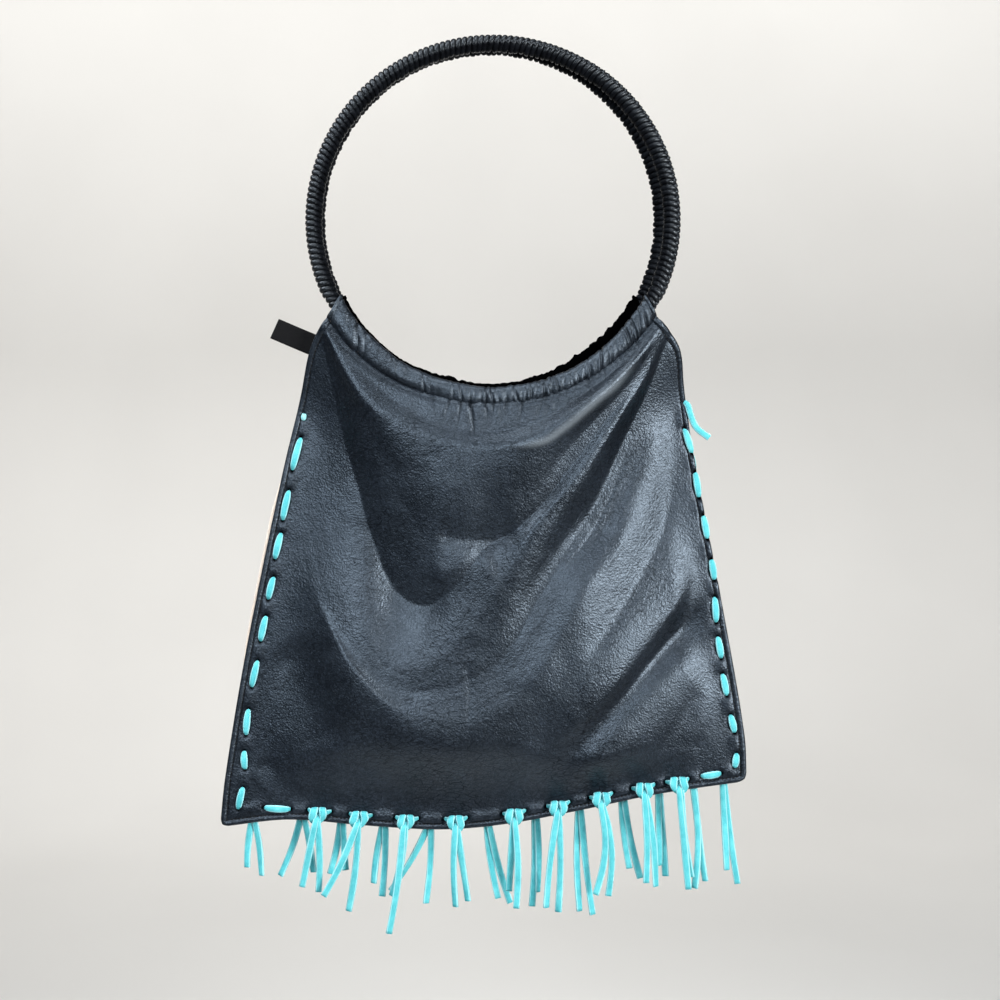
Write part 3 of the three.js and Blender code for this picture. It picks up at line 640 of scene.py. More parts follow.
def casing(name, ring, side, material, grooves, puff, steps):
    """A gathered tube round the lower half of a ring, drawn out to the seam with its panel."""
    arc = casing_arc(ring)
    t = np.linspace(0, 1, steps)[:, None]
    turn = full_turn(CASING_SIDES)[None, :]
    at = t * arc
    reach = smooth = casing_reach(t, turn)
    from_seam = np.angle(np.exp(1j * turn)) * side
    for place, depth, width, slant, start, spread in grooves:
        off = np.abs(at - place - GATHER["lean"] * slant * (from_seam - math.pi / 2))
        fade = lerp(GATHER["least"], 1.0, bell(from_seam - start, spread))
        lip = bell(off - GATHER["lip_away"] * width, GATHER["lip_width"] * width)
        reach = reach - depth * fade * bell(off, width, GATHER["sharp"])
        reach = reach + GATHER["lip"] * depth * fade * lip
    in_crease = np.clip(GATHER_SHADE["rate"] * (smooth - reach), 0, GATHER_SHADE["most"])
    noise = SmoothNoise(11)
    for height, length, shift, turns in CASING_LUMPS:
        reach = reach + height * noise.at(at / length + shift, from_seam * turns)
    upper = smoothstep(-np.cos(turn), -0.2, 0.9)
    ragged = 0.7 + 0.6 * noise.at(at / 5 + 70, from_seam)
    ragged = ragged + 0.5 * noise.at(at / 2.1, 5.5) + 0.3 * noise.at(at / 1.2, 9.5)
    reach = reach + along_table(puff, t) * upper * ragged
    end = np.minimum(at, arc - at)
    bead, groove = CASING_BEAD["width"], CASING_BEAD["groove_width"]
    reach += CASING_BEAD["height"] * (1 - smoothstep(end, bead - CASING_BEAD["edge"], bead))
    reach -= CASING_BEAD["groove"] * bell(end - bead - groove, groove)
    outside = ring_points(ring, casing_angle(t, turn), np.maximum(reach, CASING_BORE + LEAST_WALL), turn)
    inner_t = np.linspace(1, 0, CASING_INNER_STEPS)[:, None]
    inside = ring_points(ring, casing_angle(inner_t, turn), CASING_BORE, turn)
    shape = Shape()
    points = np.concatenate([outside, inside])
    shape.add(points, lattice(len(points), CASING_SIDES, loop_rows=True, loop_columns=True))
    # Painted shade: the back and top of the casing, the creases of its gathers and its inside are darkened
    # and lose their gloss
    back = smoothstep(-np.sin(from_seam + BACK_SHADE), 0.0, 0.35)
    shade = np.concatenate([np.maximum(back, in_crease), np.ones((CASING_INNER_STEPS, CASING_SIDES))])
    return shape.piece(f"{name}_gathers", material, "black_leather", [name], shade=shade)


# Panels: the sewn seam, edges and lace holes in millimetres, and shares across or down a panel
STITCH_INSET = 2.6
SEAM_STITCHES = {"drop": 2.6, "depth": 0.3, "width": 0.45, "ends": (0.3, 0.42)}
SEAM_RISE = 0.9
SEAM_ROUND = 1.8
SEAM_BLEND = 0.1
SWELL_GROWS = 0.35
HEM_CHANGES = (0.52, 0.68)
HEM_START = 3.0
TOP_TAPER = 3.0
LEAST_EDGE = 0.25
CREASE_SHADE = {"rate": 1.2, "most": 0.5}
CREASE_SHARP = 1.3
BEAD = {"inset": 1.3, "width": 1.0, "height": 0.52}
STITCH_GROOVE = {"width": 0.5, "depth": 0.4}
LACE_PULL = {"under": -0.3, "between": 0.6, "width": 2.3}
HOLE = {"radius": 1.25, "depth": 0.6}

# Heights of the hide's uneven give, and how much of it is left near an edge
GIVE = {"slow": 0.4, "streaks": 0.3, "fine streaks": 0.14, "middle": 0.13, "small": 0.035}
EDGE_GIVE = 0.35
EDGE_CALM = 6.0


def from_path(line, x, z):
    """Distance from a path, share along it of the nearest point, and a value above 0 on its upper side."""
    place = np.stack([x, z], axis=-1)
    nearest = np.full_like(x, np.inf)
    share = np.zeros_like(x)
    upper = np.zeros_like(x)
    for i, (start, end) in enumerate(zip(line, line[1:])):
        run = end - start
        away = place - start
        t = np.clip(away @ run / (run @ run), 0, 1)
        off = np.linalg.norm(away - t[..., None] * run, axis=-1)
        closer = off < nearest
        nearest = np.where(closer, off, nearest)
        share = np.where(closer, (i + t) / (len(line) - 1), share)
        upper = np.where(closer, run[0] * away[..., 1] - run[1] * away[..., 0], upper)
    return nearest, share, upper


def paint_crest_highlight(x, z):
    """How strongly the hide's colour is painted paler along its crests: a painted highlight."""
    wear = np.zeros_like(x)
    for strength, width, path in HIGHLIGHT_CRESTS:
        nearest, share, _ = from_path(spline(path, 40), x, z)
        wear = np.maximum(wear, strength * fade_ends(share, HIGHLIGHT_FADE) * bell(nearest, width))
    return wear


class Drape:
    """How far a panel stands out, between lines that run across it about the ring's centre."""

    def __init__(self, ring, lines, relief):
        self.centre = ring_frame(ring)[3][[0, 2]]
        self.kinds = [kind for _, kind, _ in lines]
        self.tables = [np.array(rows, float) for _, _, rows in lines]
        for table in self.tables[1:]:
            table[:, 2] = REST_DEPTH + relief * (table[:, 2] - REST_DEPTH)

    def at(self, x, z):
        """Depth at a place in the front view, its level in lines from the seam, and its angle."""
        angle = np.degrees(np.arctan2(x - self.centre[0], self.centre[1] - z))
        away = np.hypot(x - self.centre[0], z - self.centre[1])
        reaches, outs = [], []
        for table in self.tables:
            within = np.clip(angle, table[0, 0], table[-1, 0])
            reach = along_table(table, within)
            if reaches:
                reach = np.maximum(reach, reaches[-1] + LEAST_SPACING)
            reaches.append(reach)
            outs.append(along_table(table, within, 2))
        steps = [after - before for before, after in zip(reaches, reaches[1:])]
        slopes = [(after - before) / step for before, after, step in zip(outs, outs[1:], steps)]
        depth = outs[0].copy()
        level = np.zeros_like(x)
        for k, (step, slope) in enumerate(zip(steps, slopes)):
            t = np.clip((away - reaches[k]) / step, 0, 1)
            start = self.slope_at(k, slope, slopes[k - 1] if k else None)
            end = self.slope_at(k + 1, slope, slopes[k + 1] if k + 1 < len(slopes) else None)
            depth += (outs[k + 1] - outs[k]) * t * t * (3 - 2 * t)
            depth += step * (start * t * (1 - t) ** 2 - end * t * t * (1 - t))
            level += t
        return depth, level, angle

    def slope_at(self, line, slope, beyond):
        """Slope at a line: level on a ridge or in a valley, steady on a flank, its own at a crisp line."""
        if beyond is None:
            return 0.0
        if self.kinds[line] == "crisp":
            return slope
        mean = 2 * slope * beyond / (slope + beyond + 1e-9 * np.sign(slope))
        return np.where(slope * beyond > 0, mean, 0.0)


class Panel:
    """A leather or cloth wall from its casing to the hem, as a surface over shares u across and v down."""

    def __init__(self, ring, side, drape, relief, folds, creases, seed, spread=None):
        self.ring = ring
        self.side = side
        self.drape = Drape(ring, drape, relief)
        self.creases = creases
        self.noise = SmoothNoise(seed)
        self.spread = spread
        self.folds = [(height, above, below, sharp, spline(path, 40))
                      for _, height, above, below, sharp, path in folds]

    def top(self, u):
        """Top edge, tucked under the lower front of the casing."""
        reach, turn = seam_line(u)
        return ring_points(self.ring, casing_angle(u, 0.0), reach, -self.side * turn)

    def side_edge(self, name, v):
        start = self.top(np.array(0.0 if name == "left" else 1.0))[[0, 2]]
        end = HEM_LEFT if name == "left" else HEM_RIGHT
        bow = along_table(SIDE_BOW, v, 1 if name == "left" else 2)
        if self.spread is not None and name == "left":
            bow = bow + self.spread(v)
        out = -1 if name == "left" else 1
        return np.stack([lerp(start[0], end[0], v) + out * bow, lerp(start[1], end[1], v)], axis=-1)

    def outline(self, u, v):
        """Place in the front view, on a patch between the four edges."""
        top, hem = self.top(u)[..., [0, 2]], hem_line(u)
        left, right = self.side_edge("left", v), self.side_edge("right", v)
        u, v = u[..., None], v[..., None]
        first, last = (self.top(np.array(end))[[0, 2]] for end in (0.0, 1.0))
        corners = lerp(lerp(first, last, u), lerp(HEM_LEFT, HEM_RIGHT, u), v)
        return lerp(top, hem, v) + lerp(left, right, u) - corners

    def width(self, v):
        return np.linalg.norm(self.side_edge("right", v) - self.side_edge("left", v), axis=-1)

    def height(self, u):
        return np.linalg.norm(self.top(u)[..., [0, 2]] - hem_line(u), axis=-1)

    def fold_depth(self, x, z):
        depth = np.zeros_like(x)
        for height, above, below, sharp, line in self.folds:
            nearest, share, upper = from_path(line, x, z)
            reach = np.where(upper > 0, above, below)
            depth += height * fade_ends(share, FOLD_FADE) * bell(nearest, reach, sharp)
        return depth

    def surface(self, u, v):
        """Middle of the wall, and how far each point lies from the nearest free edge."""
        place = self.outline(u, v)
        x, z = place[..., 0], place[..., 1]
        width, height = self.width(v), self.height(u)
        left, right, low = u * width, (1 - u) * width, (1 - v) * height
        edge = np.minimum(np.minimum(left, right), low)
        grown = smoothstep(v, 0, SWELL_GROWS)
        from_left = (left - FLANGE["left"]) / lerp(*SIDE_SWELL["left"], grown)
        from_right = (right - FLANGE["right"]) / lerp(*SIDE_SWELL["right"], grown)
        side_rise = smoothstep(np.minimum(from_left, from_right), -0.05, 1)
        seam_rise = lerp(1.0, side_rise, smoothstep(v, 0, EDGES_MEET))
        hem_swell = lerp(*HEM_SWELL, smoothstep(u, *HEM_CHANGES))
        hem_rise = smoothstep(low - FLANGE["hem"], -HEM_START, hem_swell)
        drape, level, angle = self.drape.at(x, z)
        top = self.top(u)
        lift = np.abs(top[..., 1]) + SEAM_RISE - self.drape.at(top[..., 0], top[..., 2])[0]
        body = drape + lift * (1 - smoothstep(v, 0, SEAM_BLEND))
        body = body - SEAM_RISE * bell(v * height, SEAM_ROUND)
        folds = self.fold_depth(x, z) * smoothstep(np.minimum(left, right), *FOLD_MARGIN)
        depth = FLANGE_Y + ((body - FLANGE_Y) * seam_rise + folds) * hem_rise
        give = lerp(EDGE_GIVE, 1.0, side_rise) * np.minimum(1, edge / EDGE_CALM)
        depth = depth + self.wrinkles(x, z, v, level, angle) * give
        depth = depth + self.border(x, z, edge) + self.tucks(u, v, height)
        return np.stack([x, self.side * depth, z], axis=-1), edge

    def wrinkles(self, x, z, v, level, angle):
        """Uneven give of the hide: slow waves, streaks along the drape and small ripples."""
        noise = self.noise.at
        slow = GIVE["slow"] * noise(x / 26 + 3, z / 20)
        streaks = GIVE["streaks"] * noise(level * 4 + 9, angle / 7)
        streaks = streaks + GIVE["fine streaks"] * noise(level * 9, angle / 4 + 17)
        streaks = streaks * lerp(0.25, 1.0, smoothstep(angle, 2, 24)) * smoothstep(v, 0.12, 0.4)
        middle = GIVE["middle"] * noise(x / 8 + 20, z / 6.5 + 7)
        small = GIVE["small"] * noise((x + 0.6 * z) / 2.6 + 50, (z - 0.5 * x) / 2.3 + 31)
        return slow + streaks + middle + small

    def border(self, x, z, edge):
        """The sewn edge: a rolled bead, the groove of its machine stitches, and the pull of the lace."""
        depth = BEAD["height"] * bell(edge - BEAD["inset"], BEAD["width"])
        depth = depth - STITCH_GROOVE["depth"] * bell(edge - STITCH_INSET, STITCH_GROOVE["width"])
        for start, end, level in LACE_RUNS:
            length = np.linalg.norm(end - start)
            run = (end - start) / length
            from_x, from_z = x - (start[0] + end[0]) / 2, z - (start[1] + end[1]) / 2
            along = from_x * run[0] + from_z * run[1]
            off = from_x * run[1] - from_z * run[0]
            height = LACE_PULL["under" if level * self.side > 0 else "between"]
            depth = depth + height * bell(2 * along, length, 4) * bell(off, LACE_PULL["width"])
        return depth - HOLE["depth"] * lace_hole_shade(x, z)

    def tucks(self, u, v, height):
        """Short creases below the casing's gathers, and the stitched line beside the seam."""
        down = v * height
        stitched = bell(down - SEAM_STITCHES["drop"], SEAM_STITCHES["width"])
        depth = -SEAM_STITCHES["depth"] * stitched * (1 - smoothstep(u, *SEAM_STITCHES["ends"]))
        along = (u - 0.5) * casing_arc(self.ring)
        for place, strength, wide, slant, long in self.creases:
            off = np.abs(along - place + slant * down)
            depth -= strength * bell(off, wide, CREASE_SHARP) * bell(down, long)
        return depth


# Distances from a sewn edge at which a panel's lattice has its closest lines
CLOSE_STEPS = np.array([0, 0.25, 0.5, 0.8, 1.1, 1.45, 1.8, 2.1, 2.4, 2.7, 3.1, 3.7, 4.4, 5.2, 6.1, 7.1])


def panel_grid(panel, columns, rows):
    """Shares u and v of a lattice with these counts, close at the sewn edges."""
    border = CLOSE_STEPS[-1]
    inside = np.linspace(0, 1 - border / MEAN_HEIGHT, rows - len(CLOSE_STEPS) + 1)[:-1]
    v = np.concatenate([inside, 1 - CLOSE_STEPS[::-1] / MEAN_HEIGHT])
    width = panel.width(v)[:, None]
    even = np.linspace(0, 1, columns - 2 * len(CLOSE_STEPS) + 2)[1:-1][None, :]
    inner = border + even * (width - 2 * border)
    left = np.broadcast_to(CLOSE_STEPS, (len(v), len(CLOSE_STEPS)))
    right = width - CLOSE_STEPS[::-1]
    u = np.concatenate([left, inner, right], axis=1) / width
    return u, np.broadcast_to(v[:, None], u.shape)


CORNER_ROUND = 4.5


def rounded_corners(points, panel, u, v):
    """Rounds the two lower corners of a panel."""
    width, height = panel.width(v), panel.height(u)
    low = np.clip(1 - (1 - v) * height / CORNER_ROUND, 0, 1)
    for share, inward in ((u, 1), (1 - u, -1)):
        near = np.clip(1 - share * width / CORNER_ROUND, 0, 1)
        points[..., 0] += inward * CORNER_ROUND * near * (1 - np.sqrt(1 - low ** 2 / 2))
        points[..., 2] += CORNER_ROUND * low * (1 - np.sqrt(1 - near ** 2 / 2))
    return points


def rim(rows, columns):
    """Points round the outside of a lattice, in order."""
    return np.concatenate([
        np.arange(columns),
        np.arange(1, rows) * columns + columns - 1,
        (rows - 1) * columns + np.arange(columns - 2, -1, -1),
        np.arange(rows - 2, 0, -1) * columns,
    ])


def panel_piece(name, panel, columns, rows, material, slot, replaces):
    """A wall with a fine outer face, an inner face half as fine, and a rounded edge between them."""
    u, v = panel_grid(panel, columns, rows)
    middle, edge = panel.surface(u, v)
    middle = rounded_corners(middle, panel, u, v)
    normal = unit(np.cross(np.gradient(middle, axis=1), np.gradient(middle, axis=0)))
    normal = normal * np.sign(normal[..., 1:2] * panel.side + 1e-9)
    rounding = 1 - np.clip(edge / (LEATHER / 2), 0, 1)
    half = LEATHER / 2 * np.maximum(LEAST_EDGE, np.sqrt(1 - rounding ** 2))
    half = lerp(TOP_EDGE, half, smoothstep(v * MEAN_HEIGHT, 0, TOP_TAPER))[..., None]
    outer = middle + half * normal
    inner = (middle - half * normal)[::2, ::2]
    face = rows * columns
    quads = np.concatenate([lattice(rows, columns), lattice(*inner.shape[:2])[:, ::-1] + face])
    fine, coarse = rim(rows, columns), rim(*inner.shape[:2]) + face
    ahead, beyond = np.roll(fine, -2)[::2], np.roll(coarse, -1)
    wall = np.stack([ahead, fine[1::2], fine[::2], coarse, beyond], axis=1)
    shape = Shape()
    points = np.concatenate([outer.reshape(-1, 3), inner.reshape(-1, 3)])
    shape.add(points, quads, wall)
    # Painted shade: creases, the stitched line under the seam and the lace holes are marked to be darkened
    # and lose their gloss
    shade, worn = np.zeros(len(points)), np.zeros(len(points))
    creases = -CREASE_SHADE["rate"] * panel.tucks(u, v, panel.height(u))
    shade[:face] = np.clip(creases, 0, CREASE_SHADE["most"]).ravel()
    shade = np.maximum(shade, lace_hole_shade(points[:, 0], points[:, 2]))
    # Painted highlight: paler colour along the listed crests
    worn[:face] = paint_crest_highlight(middle[..., 0], middle[..., 2]).ravel()
    return shape.piece(name, material, slot, [replaces], shade=shade, worn=worn)


# Lace: widths where it goes through and over a knotted stitch, its hollow, and how its turns are evened
LACE_PINCH = 1.5
LACE_HOLLOW = -0.14
LACE_CALM = 14
KNOT_STITCH_WIDTH = 2.5

# Cut end of the lace in its first hole: depth, width, thickness
LACE_DOT = ((-3.0, 2.2, 3.0), (-1.8, 2.1, 2.8), (-0.6, 1.8, 1.8))

# Loose end of the lace from its last hole: x, depth, z, width
LACE_TAIL = (
    (0.0, 0.0, 0.0, 1.8),
    (0.0, -1.6, 0.3, 2.2),
    (1.3, -2.6, -1.4, 2.9),
    (2.9, -2.9, -6.6, 2.9),
    (5.2, -3.2, -11.4, 2.9),
    (10.7, -4.0, -15.9, 2.9),
)
TAIL_THICKNESS = 1.1


def hem_line(u):
    sag = along_table(HEM_SAG, u)
    line = lerp(HEM_LEFT, HEM_RIGHT, np.asarray(u)[..., None])
    return line - np.stack([np.zeros_like(sag), sag], axis=-1)


def hem_hole(x):
    share = np.array((x - HEM_LEFT[0]) / (HEM_RIGHT[0] - HEM_LEFT[0]))
    return np.array([x, hem_line(share)[1] + HEM_INSET])


def lace_runs():
    """Each run of the lace between two holes and its stand-off, negative on the front, in order."""
    stitches = [(start, end, FLAT_LEVEL) for start, end in LEFT_STITCHES]
    for x, *_ in FRONT_TASSELS:
        stitches.append((hem_hole(x - HEM_STITCH / 2), hem_hole(x + HEM_STITCH / 2), KNOT_LEVEL))
    stitches.extend((start, end, FLAT_LEVEL) for start, end in RIGHT_STITCHES)
    runs = []
    before = np.array(LACE_START)
    for start, end, level in stitches:
        start, end = np.array(start), np.array(end)
        along_hem = abs(start[0] - before[0]) > abs(start[1] - before[1])
        runs.append((before, start, KNOT_LEVEL if along_hem else FLAT_LEVEL))
        runs.append((start, end, -level))
        before = end
    runs.append((before, np.array(LACE_END), FLAT_LEVEL))
    return runs


LACE_RUNS = lace_runs()


def lace_hole_shade(x, z):
    """1 in the middle of a lace hole, 0 away from it."""
    shade = np.zeros_like(x)
    for place in [LACE_START] + [end for _, end, _ in LACE_RUNS]:
        away = np.hypot(x - place[0], z - place[1])
        shade = np.maximum(shade, bell(away, HOLE["radius"]))
    return shade


def add_run(rows, start, end, level, width, count=9):
    """A run of lace from hole to hole that stands off by level, pinched where it goes through."""
    t = np.linspace(0, 1, count)[:-1]
    arch = np.sin(np.pi * t)
    place = lerp(start, end, t[:, None])
    wide = lerp(LACE_PINCH, width, arch ** 0.55)
    thick = np.full_like(t, 0.8 * LACE["thickness"])
    rows.extend(np.stack([place[:, 0], level * arch ** 0.35, place[:, 1], wide, thick], axis=1))


def edge_lace(material):
    """The lace from its short cut end at the upper left, round the edge, to its loose tail at the right."""
    rows = [(LACE_START[0], depth, LACE_START[1], wide, thick) for depth, wide, thick in LACE_DOT]
    for start, end, level in LACE_RUNS:
        add_run(rows, start, end, level, KNOT_STITCH_WIDTH if abs(level) == KNOT_LEVEL else LACE["width"])
    for x, depth, z, wide in LACE_TAIL:
        rows.append((LACE_END[0] + x, depth, LACE_END[1] + z, wide, TAIL_THICKNESS))
    path = spline(np.array(rows, float), 7 * len(rows), fine=12)
    flat_run = np.gradient(path[:, [0, 2]], axis=0)
    padded = np.pad(flat_run, ((LACE_CALM, LACE_CALM), (0, 0)), mode="edge")
    kernel = np.ones(2 * LACE_CALM + 1) / (2 * LACE_CALM + 1)
    run = np.stack([np.convolve(column, kernel, mode="valid") for column in padded.T], axis=1)
    across = np.stack([-run[:, 1], np.zeros(len(path)), run[:, 0]], axis=1)
    shape = Shape()
    add_sweep(shape, path[:, :3], across, strip_section(path[:, 3], path[:, 4], LACE_HOLLOW), STRIP_CUT)
    return shape.piece("edge_lace_suede", material, "turquoise_suede", ["edge_lace"])


# Fringe: one leg of a knot, from behind its stitch over the top and in under the ends, as x, depth, z, width
KNOT_LEG = np.array([
    (1.6, 2.3, -3.4, 2.8),
    (1.7, 2.3, -0.6, 3.0),
    (1.75, 2.8, 1.1, 3.1),
    (1.75, 4.1, 1.65, 3.2),
    (1.9, 5.3, 1.0, 3.3),
    (2.3, 5.8, -0.8, 3.4),
    (2.45, 5.5, -2.6, 3.2),
    (1.9, 4.7, -4.2, 2.5),
    (0.8, 3.8, -5.2, 2.0),
])
KNOT_LEAN = 1.6
MOST_LEAN = 0.3
KNOT = {"steps": 30, "sizes": (0.92, 1.06), "uneven": 0.12, "thickness": 0.75, "hollow": -0.12}

# Roll of a knot's leg: shares along it, angles
KNOT_ROLL = ((0, 0.45, 0.75, 1), (0, -0.1, 0.35, 0.7))

# A hanging strip: its counts, most twist, turn and hollow either way, and width and thickness beside the lace
STRIP = {"steps": 34, "places": 7, "twist": 0.7, "turn": 0.25, "hollow": 0.22, "thickness": 0.8,
         "width": 0.94, "uneven": 0.05, "waves": 7}


def add_knot(shape, x, z, side, lean, rng):
    """A lark's head: two legs of the doubled strip over the stitch, drawn in behind the hanging ends."""
    steps, uneven = KNOT["steps"], KNOT["uneven"]
    share = np.linspace(0, 1, steps)
    for hand in (-1, 1):
        size = rng.uniform(*KNOT["sizes"])
        rows = KNOT_LEG * (hand * size, 1, size, size) + rng.uniform(-uneven, uneven, KNOT_LEG.shape)
        rows[:, 0] += lean * np.maximum(-0.5 - rows[:, 2], 0)
        path = spline(rows, steps)
        middle = np.stack([x + path[:, 0], side * path[:, 1], z + path[:, 2]], axis=1)
        roll = np.interp(share, *KNOT_ROLL) * hand
        across = np.stack([np.cos(roll), np.zeros(steps), np.sin(roll)], axis=1)
        section = strip_section(path[:, 3], KNOT["thickness"] * LACE["thickness"], KNOT["hollow"])
        add_sweep(shape, middle, across, section, STRIP_CUT)


def add_strip(shape, x, z, side, order, hand, tip, lean, rng):
    """One hanging end: out between the knot's legs, then down to its cut tip."""
    tip_x, tip_z, bow, lift = tip
    out, back = STRIP_DEPTH[order]
    steps = STRIP["steps"]
    start = np.array([
        (x + 0.3 * hand, 3.3, z - 0.8),
        (x + 0.4 * hand + 1.5 * lean, 4.8, z - 2.2),
        (x + 0.5 * hand + 3.5 * lean, out, z - 4.2),
    ])
    t = np.linspace(0.1, 1, STRIP["places"])
    hang_x = lerp(start[2, 0], tip_x, t) + bow * np.sin(np.pi * t)
    hang_y = lerp(out, back + lift, smoothstep(t, 0.0, 1.0))
    hang = np.stack([hang_x, hang_y, lerp(start[2, 2], tip_z, t)], axis=1)
    path = spline(np.vstack([start, hang]), steps)
    path[:, 1] *= side
    run = np.gradient(path, axis=0)
    share = np.linspace(0, 1, steps)
    twist = rng.uniform(-STRIP["twist"], STRIP["twist"]) * share ** 1.5
    twist = twist + rng.uniform(-STRIP["turn"], STRIP["turn"])
    level = unit(np.stack([-run[:, 2], np.zeros(steps), run[:, 0]], axis=1))
    across = level * np.cos(twist)[:, None] + np.array([0.0, 1.0, 0.0]) * np.sin(twist)[:, None]
    waves = np.sin(STRIP["waves"] * share + rng.uniform(0, 6))
    width = LACE["width"] * (STRIP["width"] + STRIP["uneven"] * waves)
    width = width * lerp(0.8, 1.0, smoothstep(share, 0.0, 0.25))
    hollow = rng.uniform(-STRIP["hollow"], STRIP["hollow"])
    section = strip_section(width, STRIP["thickness"] * LACE["thickness"], hollow)
    add_sweep(shape, path, across, section, STRIP_CUT)


def tassel(name, row, side, seed, material):
    rng = np.random.default_rng(seed)
    x = row[0]
    z = hem_hole(x)[1]
    tips = row[1:]
    lean = KNOT_LEAN * (sum(tip[0] for tip in tips) / len(tips) - x) / (z - tips[0][1])
    lean = np.clip(lean, -MOST_LEAN, MOST_LEAN)
    shape = Shape()
    add_knot(shape, x, z, side, lean, rng)
    leftmost = min(tip[0] for tip in tips)
    for order, tip in enumerate(tips):
        hand = -1 if tip[0] == leftmost else 1
        add_strip(shape, x, z, side, order, hand, tip, lean, rng)
    return shape.piece(f"{name}_suede", material, "turquoise_suede", [name])


# Machine stitches along the sewn edge
STITCH = {"pitch": 1.7, "length": 1.05, "radius": 0.3, "start": 0.02, "samples": 1500}


def capsule():
    """A small lying thread: its points along x, and its faces."""
    along = np.array([-0.5, -0.42, -0.15, 0.15, 0.42, 0.5]) * STITCH["length"]
    thick = np.array([0.15, 0.75, 1, 1, 0.75, 0.15]) * STITCH["radius"]
    turn = full_turn(6)
    around, up = thick[:, None] * np.cos(turn), thick[:, None] * np.sin(turn)
    points = np.stack(np.broadcast_arrays(along[:, None], around, up), axis=-1).reshape(-1, 3)
    return points, lattice(6, 6, loop_columns=True), [np.arange(6)[::-1], np.arange(6) + 30]


def edge_stitches(name, panel, material):
    """Machine stitches round a panel's free edges, lying on its face."""
    low = 1 - STITCH_INSET / MEAN_HEIGHT
    down = np.linspace(STITCH["start"], 1, STITCH["samples"])
    down = down[down < low]
    inset = STITCH_INSET / panel.width(down)
    corner = STITCH_INSET / panel.width(np.array(low))
    across = np.linspace(0, 1, STITCH["samples"])
    across = across[(across > corner) & (across < 1 - corner)]
    u = np.concatenate([inset, across, 1 - inset[::-1]])
    v = np.concatenate([down, np.full(len(across), low), down[::-1]])
    surface, _ = panel.surface(u, v)
    surface[:, 1] += panel.side * (LEATHER / 2 + STITCH["radius"] * 0.5)
    length = run_length(surface)
    at = np.arange(1.0, length[-1] - 1.0, STITCH["pitch"])
    middle = at_lengths(surface, length, at)
    run = unit(at_lengths(surface, length, at + 0.5) - middle)
    side_axis = unit(np.cross(run, np.array([0.0, 1.0, 0.0])))
    up_axis = np.cross(run, side_axis)
    points, quads, caps = capsule()
    shape = Shape()
    for place, a, b, c in zip(middle, run, side_axis, up_axis):
        shape.add(place + points @ np.stack([a, b, c]), quads, caps)
    return shape.piece(name, material, "black_leather")


# Label
TAPE = {"thickness": 0.34, "along": 22, "round": 9, "across": 13, "bow": 0.9, "twist": 0.9}


def label_tab(material):
    """A bare tape folded in two and caught in the left seam, its outer end the fold."""
    length, width = LABEL["length"], LABEL["width"]
    outer = LABEL["thickness"] / 2
    inner = outer - TAPE["thickness"]
    straight = np.linspace(0, -length + outer, TAPE["along"])
    turn = np.linspace(-math.pi / 2, math.pi / 2, TAPE["round"])[1:-1]

    def fold(radius):
        """One face of the tape: out along the back, round the fold and in along the front."""
        bend = np.stack([-length + outer - radius * np.cos(turn), radius * np.sin(turn)], axis=1)
        back = np.stack([straight, np.full(len(straight), -radius)], axis=1)
        return np.vstack([back, bend, back[::-1] * (1, -1)])

    section = np.vstack([fold(outer), fold(inner)[::-1]])
    across = np.linspace(-0.5, 0.5, TAPE["across"])[:, None] * width
    along, deep = section[None, :, 0], section[None, :, 1]
    share = -along / length
    curl = TAPE["bow"] * np.sin(np.pi * share) + TAPE["twist"] * share * across / width
    tilt = math.radians(LABEL["tilt"])
    x = LABEL["inner"][0] + along * math.cos(tilt) + across * math.sin(tilt)
    z = LABEL["inner"][1] - along * math.sin(tilt) + across * math.cos(tilt)
    points = np.stack(np.broadcast_arrays(x, deep + curl, z), axis=-1)
    rows, count = points.shape[:2]
    half = count // 2
    strip = np.arange(half - 1)
    end = np.stack([strip, strip + 1, count - 2 - strip, count - 1 - strip], axis=1)
    quads = np.concatenate([lattice(rows, count, loop_columns=True), end[:, ::-1], end + (rows - 1) * count])
    shape = Shape()
    shape.add(points, quads)
    return shape.piece("label_tape_tab", material, "label_tape", ["label"])


